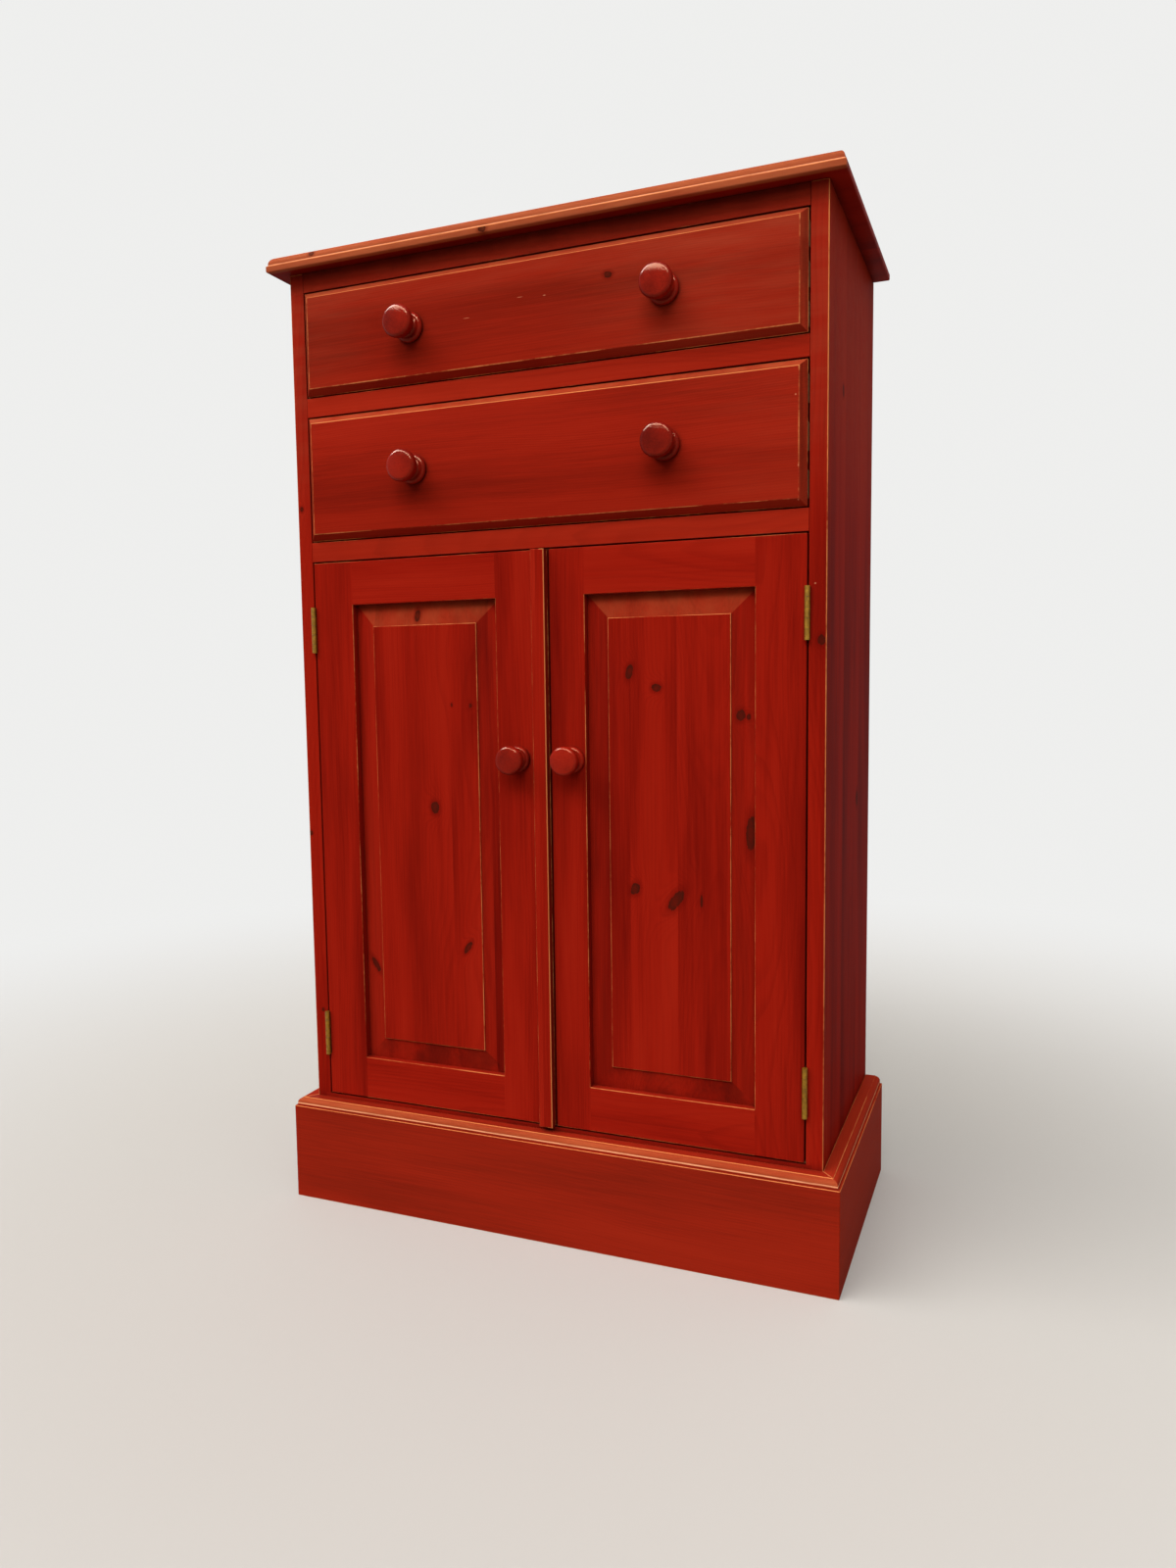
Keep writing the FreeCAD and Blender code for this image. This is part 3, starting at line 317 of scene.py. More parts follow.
push = sum_of(tree, "EXPONENT", sum_of(tree, "MULTIPLY", push, -0.16))
push = sum_of(tree, "MULTIPLY", push, sum_of(tree, "MULTIPLY", taken["Radius"], 1.9))
close_group(tree, given, {
    "Core": sum_of(tree, "MAXIMUM", core, taken["Core Before"]),
    "Halo": sum_of(tree, "MAXIMUM", halo, taken["Halo Before"]),
    "Swirl": sum_of(tree, "ADD", push, taken["Swirl Before"]),
})

# Where an arris is rubbed through to the pale wood, painted brighter to stand partly for the highlight along
# it: a broken line, wider in some places.
rubbed_and_highlight, taken, given = new_group(
    "rubbed_arris_and_highlight",
    [("Vector", (0, 0, 0)), ("Arris", 0.0), ("Amount", 0.5)],
    ["Mask"],
)
tree = rubbed_and_highlight
patches = noise(tree, taken["Vector"], (15.0, 15.0, 15.0), 5.0, 0.62).outputs[0]
specks = noise(tree, taken["Vector"], (210.0, 210.0, 210.0), 3.0, 0.6).outputs[0]
uneven = sum_of(tree, "MULTIPLY_ADD", specks, 0.6, sum_of(tree, "MULTIPLY", patches, 1.7))
uneven = sum_of(tree, "ADD", uneven, sum_of(tree, "SUBTRACT", taken["Amount"], 1.15))
worn_and_lit = sum_of(tree, "MULTIPLY", taken["Arris"], uneven)
close_group(tree, given, {"Mask": eased_step(tree, worn_and_lit, 0.2, 0.7)})

# Grime and old wax that no cloth reaches, and painted shade: the wood darkens where little open air lies
# round it, in corners, recesses and under edges, where shade falls.
grime_and_shade, taken, given = new_group(
    "grime_and_shade",
    [("Vector", (0, 0, 0)), ("Reach", 0.014), ("Amount", 1.0)],
    ["Mask"],
)
tree = grime_and_shade
open_air = add(tree, "AmbientOcclusion", {"Distance": taken["Reach"]}, samples=6)
closed = sum_of(tree, "SUBTRACT", 1.0, open_air.outputs["AO"])
patches = noise(tree, taken["Vector"], (30.0, 30.0, 30.0), 3.0, 0.6).outputs[0]
uneven = sum_of(tree, "MULTIPLY_ADD", patches, 0.9, 0.55)
shade_and_grime = sum_of(tree, "MULTIPLY", sum_of(tree, "MULTIPLY", closed, uneven), taken["Amount"])
close_group(tree, given, {"Mask": eased_step(tree, shade_and_grime, 0.12, 0.85)})

# Dark red stain over pine: deeper in soft early wood, dark on knots, pale where it is rubbed off, that pale
# partly a painted highlight. Through its own inputs it is also darkened for grime and painted shade, made
# paler for fading, painted light and painted sheen, and given painted highlight lines.
STAIN = (0.277, 0.0096, 0.0037, 1)
STAIN_LIGHT = (0.352, 0.0166, 0.0063, 1)
STAIN_DARK = (0.11, 0.003, 0.0018, 1)
# A paler stain: partly fading, partly a painted light on faces turned to the light.
FADED_AND_LIT = (0.42, 0.1, 0.035, 1)
KNOT_DARK = (0.04, 0.0075, 0.004, 1)
# The colours of rubbed arrises, brighter than the wear alone so that they partly paint the highlight on the
# waxed arris.
RUBBED_AND_HIGHLIGHT = (0.52, 0.11, 0.026, 1)
RUBBED_PALE_AND_HIGHLIGHT = (0.7, 0.27, 0.095, 1)
# The pale colour of painted highlight lines along arrises and rounds, also used for small pale dents.
HIGHLIGHT_AND_DENT_PALE = (0.88, 0.38, 0.2, 1)
# A pale stain for broad pale patches: on the drawer fronts a painted sheen of the wax, elsewhere paler wood.
BLEACHED_AND_SHEEN = (0.6, 0.27, 0.13, 1)
# The colour the stain darkens to in corners, recesses and under edges: partly grime, partly painted shade.
GRIME_AND_SHADE = (0.022, 0.0042, 0.0028, 1)
stain, taken, given = new_group(
    "red_stain",
    [("Late Wood", 0.0), ("Fibre", 0.5), ("Tone", 0.5), ("Strip", 0.5), ("Strip Contrast", 0.0),
     ("Core", 0.0), ("Halo", 0.0), ("Rubbed And Highlight", 0.0), ("Grime And Shade", 0.0), ("Lightness", 0.0),
     ("Faded And Lit", 0.0), ("Highlight And Dent", 0.0), ("Bleached And Sheen", 0.0)],
    ["Color", "Roughness", "Height"],
)
tree = stain
strip_tone = sum_of(tree, "SUBTRACT", taken["Strip"], 0.5)
strip_tone = sum_of(tree, "MULTIPLY", strip_tone, taken["Strip Contrast"])
depth = sum_of(tree, "ADD", taken["Tone"], strip_tone)
depth = sum_of(tree, "ADD", depth, taken["Lightness"])
depth = sum_of(tree, "MULTIPLY_ADD", taken["Fibre"], 0.44, sum_of(tree, "SUBTRACT", depth, 0.22))
ramp = add(tree, "ValToRGB", {0: depth})
ramp.color_ramp.elements[0].position = 0.2
ramp.color_ramp.elements[0].color = STAIN_DARK
ramp.color_ramp.elements[1].position = 0.8
ramp.color_ramp.elements[1].color = STAIN_LIGHT
ramp.color_ramp.elements.new(0.5).color = STAIN
colour = ramp.outputs[0]
dim = sum_of(tree, "MULTIPLY", taken["Late Wood"], 0.2)
colour = blended(tree, dim, colour, STAIN_DARK)
colour = blended(tree, sum_of(tree, "MULTIPLY", taken["Faded And Lit"], 0.75), colour, FADED_AND_LIT)
colour = blended(tree, taken["Bleached And Sheen"], colour, BLEACHED_AND_SHEEN)
colour = blended(tree, sum_of(tree, "MULTIPLY", taken["Halo"], 0.45), colour, STAIN_DARK)
colour = blended(tree, sum_of(tree, "MULTIPLY", taken["Core"], 0.9), colour, KNOT_DARK)
colour = blended(tree, sum_of(tree, "MULTIPLY", taken["Grime And Shade"], 0.85), colour, GRIME_AND_SHADE)
pale = blended(tree, taken["Fibre"], RUBBED_AND_HIGHLIGHT, RUBBED_PALE_AND_HIGHLIGHT)
colour = blended(tree, taken["Rubbed And Highlight"], colour, pale)
colour = blended(tree, taken["Highlight And Dent"], colour, HIGHLIGHT_AND_DENT_PALE)
sheen = sum_of(tree, "MULTIPLY_ADD", taken["Fibre"], 0.16, 0.3)
sheen = sum_of(tree, "MULTIPLY_ADD", taken["Rubbed And Highlight"], 0.15, sheen)
sheen = sum_of(tree, "MULTIPLY_ADD", taken["Grime And Shade"], 0.2, sheen)
ridge = sum_of(tree, "MULTIPLY_ADD", taken["Late Wood"], 0.5, sum_of(tree, "MULTIPLY", taken["Fibre"], 0.8))
ridge = sum_of(tree, "SUBTRACT", ridge, sum_of(tree, "MULTIPLY", taken["Rubbed And Highlight"], 0.5))
close_group(tree, given, {"Color": colour, "Roughness": sheen, "Height": ridge})

# Bare pine, yellowed by age: darker late wood, brown knots.
BARE = (0.5, 0.315, 0.155, 1)
BARE_PALE = (0.63, 0.43, 0.24, 1)
BARE_LATE = (0.36, 0.17, 0.06, 1)
BARE_KNOT = (0.09, 0.035, 0.014, 1)
# The colour bare wood darkens to in corners and recesses: partly grime, partly painted shade.
BARE_GRIME_AND_SHADE = (0.16, 0.085, 0.04, 1)
bare_wood, taken, given = new_group(
    "bare_wood",
    [("Late Wood", 0.0), ("Fibre", 0.5), ("Tone", 0.5), ("Strip", 0.5), ("Core", 0.0),
     ("Halo", 0.0), ("Grime And Shade", 0.0)],
    ["Color", "Height"],
)
tree = bare_wood
depth = sum_of(tree, "MULTIPLY_ADD", taken["Strip"], 0.5, taken["Tone"])
depth = sum_of(tree, "MULTIPLY_ADD", taken["Fibre"], 0.5, sum_of(tree, "SUBTRACT", depth, 0.5))
colour = blended(tree, eased_step(tree, depth, 0.2, 0.8), BARE, BARE_PALE)
colour = blended(tree, sum_of(tree, "MULTIPLY", taken["Late Wood"], 0.6), colour, BARE_LATE)
colour = blended(tree, sum_of(tree, "MULTIPLY", taken["Halo"], 0.6), colour, BARE_LATE)
colour = blended(tree, taken["Core"], colour, BARE_KNOT)
colour = blended(tree, sum_of(tree, "MULTIPLY", taken["Grime And Shade"], 0.45), colour, BARE_GRIME_AND_SHADE)
ridge = sum_of(tree, "MULTIPLY_ADD", taken["Late Wood"], 0.4, taken["Fibre"])
close_group(tree, given, {"Color": colour, "Height": ridge})

# How boards lie: the rows turn a place into (across the board, into it, along it).
LIE = {
    "upright_front": Matrix(((1, 0, 0), (0, 1, 0), (0, 0, 1))),
    "level_front": Matrix(((0, 0, 1), (0, 1, 0), (-1, 0, 0))),
    "upright_side": Matrix(((0, 1, 0), (-1, 0, 0), (0, 0, 1))),
    "level_side": Matrix(((0, 0, 1), (1, 0, 0), (0, 1, 0))),
    "flat": Matrix(((0, 1, 0), (0, 0, 1), (1, 0, 0))),
    "outward": Matrix(((1, 0, 0), (0, 0, 1), (0, -1, 0))),
}


def join(tree, made, values):
    """Sets the inputs of a placed group to numbers or to the outputs of other nodes."""
    for title, value in values.items():
        if isinstance(value, bpy.types.NodeSocket):
            tree.links.new(value, made.inputs[title])
        else:
            made.inputs[title].default_value = value
    return made


ONE_STRIP = (10.0, 0.0)
ROUND_KNOT = (1, 0, 0.75)


def grain_of(tree, lie, board, heart, seed, strips=ONE_STRIP, ring=0.0026, taper=0.03, knots=()):
    """The figure of a board. The tree's middle lies at heart from the board's middle, in the board's
    own directions. strips are (width, start). Each knot is (place, radius, shape, lean), the last two
    can be left out. Returns the place and the figure's outputs."""
    place = add(tree, "TexCoord").outputs["Object"]
    turned = add(tree, "Mapping", {"Vector": place, "Rotation": LIE[lie].to_euler()}).outputs[0]
    low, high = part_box(board)
    middle = LIE[lie] @ ((low + high) / 2)
    pith = middle + Vector(heart)
    pith.z = 0
    before = {}
    for centre, radius, *more in knots:
        shape, lean = more + [ROUND_KNOT, 0.0][len(more):]
        values = {"Vector": turned, "Centre": LIE[lie] @ Vector(centre), "Radius": radius, "Flatten": shape,
                  "Lean": lean}
        made = join(tree, add(tree, "Group", node_tree=knot), {**values, **before})
        before = {title + " Before": made.outputs[title] for title in ("Core", "Halo", "Swirl")}
    values = {"Vector": turned, "Pith": pith, "Ring Width": ring, "Taper": taper, "Seed": seed,
              "Strip Width": strips[0], "Strip Start": strips[1]}
    figure = join(tree, add(tree, "Group", node_tree=pine_figure), values)
    found = {title: figure.outputs[title] for title in ("Late Wood", "Fibre", "Tone", "Strip")}
    if before:
        tree.links.new(before["Swirl Before"], figure.inputs["Swirl"])
        found.update(Core=before["Core Before"], Halo=before["Halo Before"])
    return place, found


RAGGED_BY = 0.0012


def within(tree, place, low, high):
    """1 inside a box with ragged sides, else 0. None stands for no side there."""
    ragged = noise(tree, place, (160.0, 160.0, 160.0), 2.0).outputs["Color"]
    ragged = vector_of(tree, "SUBTRACT", ragged, MID_GREY)
    ragged = vector_of(tree, "MULTIPLY", ragged, (RAGGED_BY, RAGGED_BY, RAGGED_BY))
    ragged = vector_of(tree, "ADD", place, ragged)
    split = add(tree, "SeparateXYZ", {0: ragged})
    mask = 1.0
    for axis in range(3):
        for limit, test in ((low[axis], "GREATER_THAN"), (high[axis], "LESS_THAN")):
            if limit is not None:
                mask = sum_of(tree, "MULTIPLY", mask, sum_of(tree, test, split.outputs[axis], limit))
    return mask


MITRE = (-0.0002, 0.0003)


def slopes_of(tree, split, field):
    """Masks of the four slopes round a field (left, right, bottom, top), parted by mitres: the one
    that looks up, the one that looks down, the two at the sides."""
    left = sum_of(tree, "SUBTRACT", field[0], split.outputs[0])
    right = sum_of(tree, "SUBTRACT", split.outputs[0], field[1])
    down = sum_of(tree, "SUBTRACT", field[2], split.outputs[2])
    up = sum_of(tree, "SUBTRACT", split.outputs[2], field[3])
    sideways = sum_of(tree, "MAXIMUM", left, right)
    level = sum_of(tree, "MAXIMUM", up, down)
    off_sides = sum_of(tree, "SUBTRACT", level, sum_of(tree, "MAXIMUM", sideways, 0.0))
    off_level = sum_of(tree, "SUBTRACT", sideways, sum_of(tree, "MAXIMUM", level, 0.0))
    on_level = eased_step(tree, off_sides, *MITRE)
    upper = sum_of(tree, "GREATER_THAN", up, down)
    facing_up = sum_of(tree, "MULTIPLY", on_level, upper)
    facing_down = sum_of(tree, "SUBTRACT", on_level, facing_up)
    return facing_up, facing_down, eased_step(tree, off_level, *MITRE)


def paint_slope_light_and_grime(tree, place, split, field, slopes, values):
    """Paints light and shade, with some grimy wax, on the slopes round a field into values. slopes are how
    much paler the upper one is, a painted light; how much darker the lower one and the side ones are, in
    patches and streaks, partly grimy wax and partly painted shade; and how much paler the side ones are, a
    painted light."""
    lit_above, shade_and_grime_below, shade_and_grime_beside, lit_beside = slopes
    facing_up, facing_down, sideways = slopes_of(tree, split, field)
    cloudy = noise(tree, place, (45.0, 45.0, 45.0), 4.0, 0.6).outputs[0]
    cloudy = eased_step(tree, cloudy, 0.25, 0.7, 0.45 * lit_above, lit_above)
    worn_and_lit = sum_of(tree, "MULTIPLY", facing_up, cloudy)
    values["Faded And Lit"] = sum_of(tree, "MAXIMUM", values["Faded And Lit"], worn_and_lit)
    if lit_beside:
        worn_and_lit = sum_of(tree, "MULTIPLY", sideways, lit_beside)
        values["Faded And Lit"] = sum_of(tree, "MAXIMUM", values["Faded And Lit"], worn_and_lit)
    patchy = noise(tree, place, (19.0, 19.0, 19.0), 4.0, 0.6).outputs[0]
    patchy = eased_step(tree, patchy, 0.42, 0.62, 0.15 * shade_and_grime_below, shade_and_grime_below)
    brown = noise(tree, place, (150.0, 150.0, 9.0), 3.0, 0.6).outputs[0]
    brown = eased_step(tree, brown, 0.38, 0.66, 0.2 * shade_and_grime_beside, shade_and_grime_beside)
    shade_and_grime = sum_of(tree, "MULTIPLY", facing_down, patchy)
    shade_and_grime = sum_of(tree, "MAXIMUM", shade_and_grime, sum_of(tree, "MULTIPLY", sideways, brown))
    values["Grime And Shade"] = sum_of(tree, "MAXIMUM", values["Grime And Shade"], shade_and_grime)


def painted_highlights_and_dents(tree, place, split, streaks, marks):
    """Painted highlights along streaks (axis, place, half their width), and small pale dents, the marks
    (place, half width, half height)."""
    highlight_and_dent = 0.0
    for axis, height, half in streaks:
        off = sum_of(tree, "ABSOLUTE", sum_of(tree, "SUBTRACT", split.outputs[axis], height))
        stretch = [22.0, 22.0, 22.0]
        stretch[axis] = 900.0
        broken = eased_step(tree, noise(tree, place, stretch, 5.0, 0.65).outputs[0], 0.3, 0.5)
        line = sum_of(tree, "MULTIPLY", eased_step(tree, off, half, half * 0.3), broken)
        highlight_and_dent = sum_of(tree, "MAXIMUM", highlight_and_dent, line)
    for spot, half_width, half_height in marks:
        away = vector_of(tree, "SUBTRACT", place, spot)
        away = vector_of(tree, "MULTIPLY", away, (1 / half_width, 0, 1 / half_height))
        away = vector_of(tree, "LENGTH", away)
        highlight_and_dent = sum_of(tree, "MAXIMUM", highlight_and_dent, eased_step(tree, away, 1.2, 0.4, 0.0, 0.4))
    return highlight_and_dent


# A turned piece has too many small faces for bevels, so its arrises are found by how little wood
# lies inside them. The middle of its round end is left out.
TURNED_REACH = 0.0022
TURNED_GAIN = 2.2
END_RADIUS = 0.004
MIDDLE_RADIUS = 0.0022


def turned_arrises(tree, place, board):
    """Masks of a turned piece: its arrises, and the middle of its ends."""
    inside = add(tree, "AmbientOcclusion", {"Distance": TURNED_REACH}, inside=True, only_local=True,
                 samples=8)
    arris = sum_of(tree, "SUBTRACT", 1.0, inside.outputs["AO"])
    arris = sum_of(tree, "MULTIPLY", arris, TURNED_GAIN)
    low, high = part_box(board)
    off_axis = vector_of(tree, "SUBTRACT", place, (low + high) / 2)
    off_axis = vector_of(tree, "LENGTH", vector_of(tree, "MULTIPLY", off_axis, (1, 0, 1)))
    arris = sum_of(tree, "MULTIPLY", arris, sum_of(tree, "GREATER_THAN", off_axis, END_RADIUS))
    return arris, sum_of(tree, "LESS_THAN", off_axis, MIDDLE_RADIUS)


SHEEN_TINT = (1, 0.56, 0.33, 1)
BARE_ROUGHER = 0.3
WOOD_BUMP = {"Strength": 0.3, "Distance": 0.0003}


def stained_pine(name, lie, board, heart, seed, lightness=0.0, contrast=0.0, rub_and_highlight=0.5, grime_and_shade_amount=1.0, bare=None,
                 faded_and_lit=(), pale=0.0, streaks=(), polish=0.0, turned_piece=False,
                 field=None, slopes=(0.0, 0.0, 0.0, 0.0), reach=0.014, marks=(), rub_and_highlight_past=None,
                 painted_shade_past=None, bleached_and_sheen=(), lighter=(), clouds=1.0, gloss=0.012, **grain):
    """Red-stained, waxed pine for one board or a set of like boards. Inside the box called bare it is left
    unstained. rub is how pale and bright its arrises are, partly wear and partly a painted highlight, dirt
    how dark it gets within reach of a corner, partly grimy wax and partly painted shade, contrast how much
    its strips differ, clouds how cloudy the stain is, and polish how much smoother it is than plain wax. It
    is paler past each step in faded (axis, start, end), palest past all of them, partly fading and partly a
    painted light. Past a place (axis, start, end, amount) in rub_and_highlight_past its arrises are paler
    and brighter, partly a painted highlight, and past one in painted_shade_past the wood is darker, a
    painted shade. Past each such place in bleached it is paler, partly a painted sheen, and past each in
    lighter it is lighter."""
    material, tree, shader = shader_of(name)
    place, found = grain_of(tree, lie, board, heart, seed, **grain)
    split = add(tree, "SeparateXYZ", {0: place})
    if turned_piece:
        arris, in_middle = turned_arrises(tree, place, board)
    else:
        arris = add(tree, "Attribute", attribute_name="arris").outputs["Fac"]
    if rub_and_highlight_past:
        axis, start, end, more = rub_and_highlight_past
        rub_and_highlight = eased_step(tree, split.outputs[axis], start, end, rub_and_highlight, rub_and_highlight + more)
    worn_and_lit = join(tree, add(tree, "Group", node_tree=rubbed_and_highlight), {"Vector": place, "Arris": arris, "Amount": rub_and_highlight})
    grime_and_shade_mask = add(tree, "Group", node_tree=grime_and_shade)
    join(tree, grime_and_shade_mask, {"Vector": place, "Amount": grime_and_shade_amount, "Reach": reach})
    values = {**found, "Rubbed And Highlight": worn_and_lit.outputs["Mask"], "Grime And Shade": grime_and_shade_mask.outputs["Mask"],
              "Lightness": lightness, "Strip Contrast": contrast, "Faded And Lit": pale}
    values["Tone"] = sum_of(tree, "MULTIPLY_ADD", found["Tone"], clouds, 0.5 - 0.5 * clouds)
    for axis, start, end, more in lighter:
        past = eased_step(tree, split.outputs[axis], start, end)
        values["Lightness"] = sum_of(tree, "MULTIPLY_ADD", past, more, values["Lightness"])
    # Darker past a place: a painted shade.
    if painted_shade_past:
        axis, start, end, amount = painted_shade_past
        shade_ramp = eased_step(tree, split.outputs[axis], start, end, 0.0, amount)
        values["Grime And Shade"] = sum_of(tree, "MAXIMUM", values["Grime And Shade"], shade_ramp)
    # Broad pale patches past the given places, partly a painted sheen of the wax.
    if bleached_and_sheen:
        thin = noise(tree, place, (12.0, 90.0, 90.0), 4.0, 0.6).outputs[0]
        thin = eased_step(tree, thin, 0.3, 0.7, 0.4, 1.0)
        past = 0.0
        for axis, start, end, amount in bleached_and_sheen:
            past = sum_of(tree, "ADD", past, eased_step(tree, split.outputs[axis], start, end, 0.0, amount))
        values["Bleached And Sheen"] = sum_of(tree, "MULTIPLY", thin, past)
    # Paler past the given steps, partly fading and partly a painted light on moulded edges turned to the
    # light.
    if faded_and_lit:
        cloudy = noise(tree, place, (9.0, 60.0, 60.0), 4.0, 0.62).outputs[0]
        past = eased_step(tree, cloudy, 0.25, 0.75, 0.45, 1.0)
        for axis, start, end in faded_and_lit:
            past = sum_of(tree, "MULTIPLY", past, eased_step(tree, split.outputs[axis], start, end))
        values["Faded And Lit"] = sum_of(tree, "MAXIMUM", past, pale)
    if field:
        paint_slope_light_and_grime(tree, place, split, field, slopes, values)
    if streaks or marks:
        values["Highlight And Dent"] = painted_highlights_and_dents(tree, place, split, streaks, marks)
    finish = join(tree, add(tree, "Group", node_tree=stain), values)
    colour, sheen, ridge = (finish.outputs[title] for title in ("Color", "Roughness", "Height"))
    if bare:
        plain = add(tree, "Group", node_tree=bare_wood)
        join(tree, plain, {**found, "Grime And Shade": grime_and_shade_mask.outputs["Mask"]})
        mask = within(tree, place, *bare)
        colour = blended(tree, mask, colour, plain.outputs["Color"])
        sheen = sum_of(tree, "MULTIPLY_ADD", mask, BARE_ROUGHER, sheen)
    tree.links.new(colour, shader.inputs["Base Color"])
    tree.links.new(sum_of(tree, "SUBTRACT", sheen, polish), shader.inputs["Roughness"])
    bump = add(tree, "Bump", {"Height": ridge, **WOOD_BUMP})
    if turned_piece:
        shape = add(tree, "NewGeometry").outputs
        facing = {0: in_middle, 4: shape["Normal"], 5: shape["True Normal"]}
        facing = add(tree, "Mix", facing, data_type="VECTOR").outputs[1]
        tree.links.new(facing, bump.inputs["Normal"])
    tree.links.new(bump.outputs[0], shader.inputs["Normal"])
    shader.inputs["Specular IOR Level"].default_value = gloss
    shader.inputs["Specular Tint"].default_value = SHEEN_TINT
    return material


WELDED_UNDER = 0.00001
FLAT_WITHIN = radians(0.5)
SHORTEST_EASED = 0.012
BLUNTEST_EASED = radians(35)
ROUNDED_BY = 0.0016
SMOOTH_UNDER = radians(20)
BESIDE_ARRIS = 0.55


def eased(name, material, width=0.0007, joints=(), cuts=(), flush=(), rounds=()):
    """A board like a CAD node, with its long outer arrises taken off. It replaces the node.
    The attribute arris marks them, except inside the joints, which are boxes of two corners.
    The arrises are parted at the cuts, each a place and a direction. Edges whose middle lies in a box
    of flush stay sharp, those in a box of rounds are rounded over first."""

    def lies_in(place, boxes):
        """Whether a place lies in one of the boxes."""
        return any(all(low[i] < place[i] < high[i] for i in range(3)) for low, high in boxes)

    let_go()
    board = nodes[name].copy()
    board.data = nodes[name].data.copy()
    board.name = name + "_board"
    for key in list(board.keys()):
        del board[key]
    board.parent = None
    board.matrix_world = Matrix.Identity(4)
    board.data.materials.clear()
    board.data.materials.append(material)
    board.data.materials.append(material)
    bpy.context.scene.collection.objects.link(board)
    board.select_set(True)
    bpy.context.view_layer.objects.active = board
    bpy.ops.mesh.customdata_custom_splitnormals_clear()
    bpy.ops.object.mode_set(mode="EDIT")
    bpy.ops.mesh.select_all(action="SELECT")
    bpy.ops.mesh.remove_doubles(threshold=WELDED_UNDER)
    bpy.ops.mesh.dissolve_limited(angle_limit=FLAT_WITHIN)
    for place, direction in cuts:
        bpy.ops.mesh.select_all(action="SELECT")
        bpy.ops.mesh.bisect(plane_co=place, plane_no=direction)
    bpy.ops.mesh.select_all(action="DESELECT")
    if rounds:
        shell = bmesh.from_edit_mesh(board.data)
        for edge in shell.edges:
            edge.select_set(lies_in((edge.verts[0].co + edge.verts[1].co) / 2, rounds))
        bmesh.update_edit_mesh(board.data)
        bpy.ops.mesh.bevel(offset=ROUNDED_BY, offset_type="OFFSET", segments=4, affect="EDGES")
        bpy.ops.mesh.select_all(action="DESELECT")
    shell = bmesh.from_edit_mesh(board.data)
    for edge in shell.edges:
        outer = edge.is_manifold and edge.is_convex and edge.calc_face_angle() > BLUNTEST_EASED
        kept = lies_in((edge.verts[0].co + edge.verts[1].co) / 2, flush)
        edge.select_set(outer and not kept and edge.calc_length() > SHORTEST_EASED)
    bmesh.update_edit_mesh(board.data)
    bpy.ops.mesh.bevel(offset=width, offset_type="OFFSET", segments=2, affect="EDGES", material=1)
    shell = bmesh.from_edit_mesh(board.data)
    arris = shell.loops.layers.float.new("arris")
    taken_off = [face for face in shell.faces if face.material_index == 1]
    for face in taken_off:
        middle = face.calc_center_median()
        hidden = lies_in(middle, joints)
        for loop in face.loops:
            edge_of_it = any(other.material_index == 0 for other in loop.vert.link_faces)
            loop[arris] = 0.0 if hidden else BESIDE_ARRIS if edge_of_it else 1.0
    for face in taken_off:
        face.material_index = 0
    bmesh.update_edit_mesh(board.data)
    bpy.ops.object.mode_set(mode="OBJECT")
    bpy.ops.object.shade_smooth_by_angle(angle=SMOOTH_UNDER)
    board.data.materials.pop(index=1)
    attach(board, nodes[name]["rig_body"])
    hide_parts(name)


INNER = 0.2752
SIDE_STRIP = 0.098
EDGEWISE = (0.12, 1, 0.8)
SIDE_KNOTS = {
    "side_left": [((-0.287, -0.123, 0.7852), 0.0022, EDGEWISE), ((-0.2895, -0.123, 0.4234), 0.002, EDGEWISE),
                  ((-0.2815, -0.123, 0.2185), 0.0016, EDGEWISE), ((-0.292, 0.03, 0.64), 0.006)],
    "side_right": [((0.287, -0.123, 0.6264), 0.0038, EDGEWISE), ((0.292, 0.07, 0.46), 0.006),
                   ((0.292, -0.04, 0.87), 0.004)],
}
SIDE_MARK = ((0.2811, 0, 0.6787), 0.0009, 0.0009)
SIDE_BARE = ((-INNER, -0.1195, None), (INNER, None, None))
SIDES = [("side_left", (0.05, -0.07, 0), 3.0, -1, 0.02, []),
         ("side_right", (0.02, 0.06, 0), 5.0, 1, 0.2, [SIDE_MARK])]
NEAR = 0.003
DULL_GLOSS = 0.003
for name, heart, seed, hand, lighter_above, marks in SIDES:
    wood = stained_pine(name + "_pine", "upright_side", name, heart, seed, strips=(SIDE_STRIP, -0.123),
                        contrast=0.05, knots=SIDE_KNOTS[name], bare=SIDE_BARE, rub_and_highlight=0.7, lightness=-0.08,
                        polish=-0.16, gloss=DULL_GLOSS, marks=marks,
                        lighter=[(2, 0.62, 0.88, lighter_above)], bleached_and_sheen=[(2, 0.72, 0.92, 0.05)])
    inner = sorted((hand * (INNER - NEAR), hand * (INNER + NEAR)))
    eased(name, wood, width=0.0009, joints=[((inner[0], -0.13, 0), (inner[1], -0.11, 1.1))])


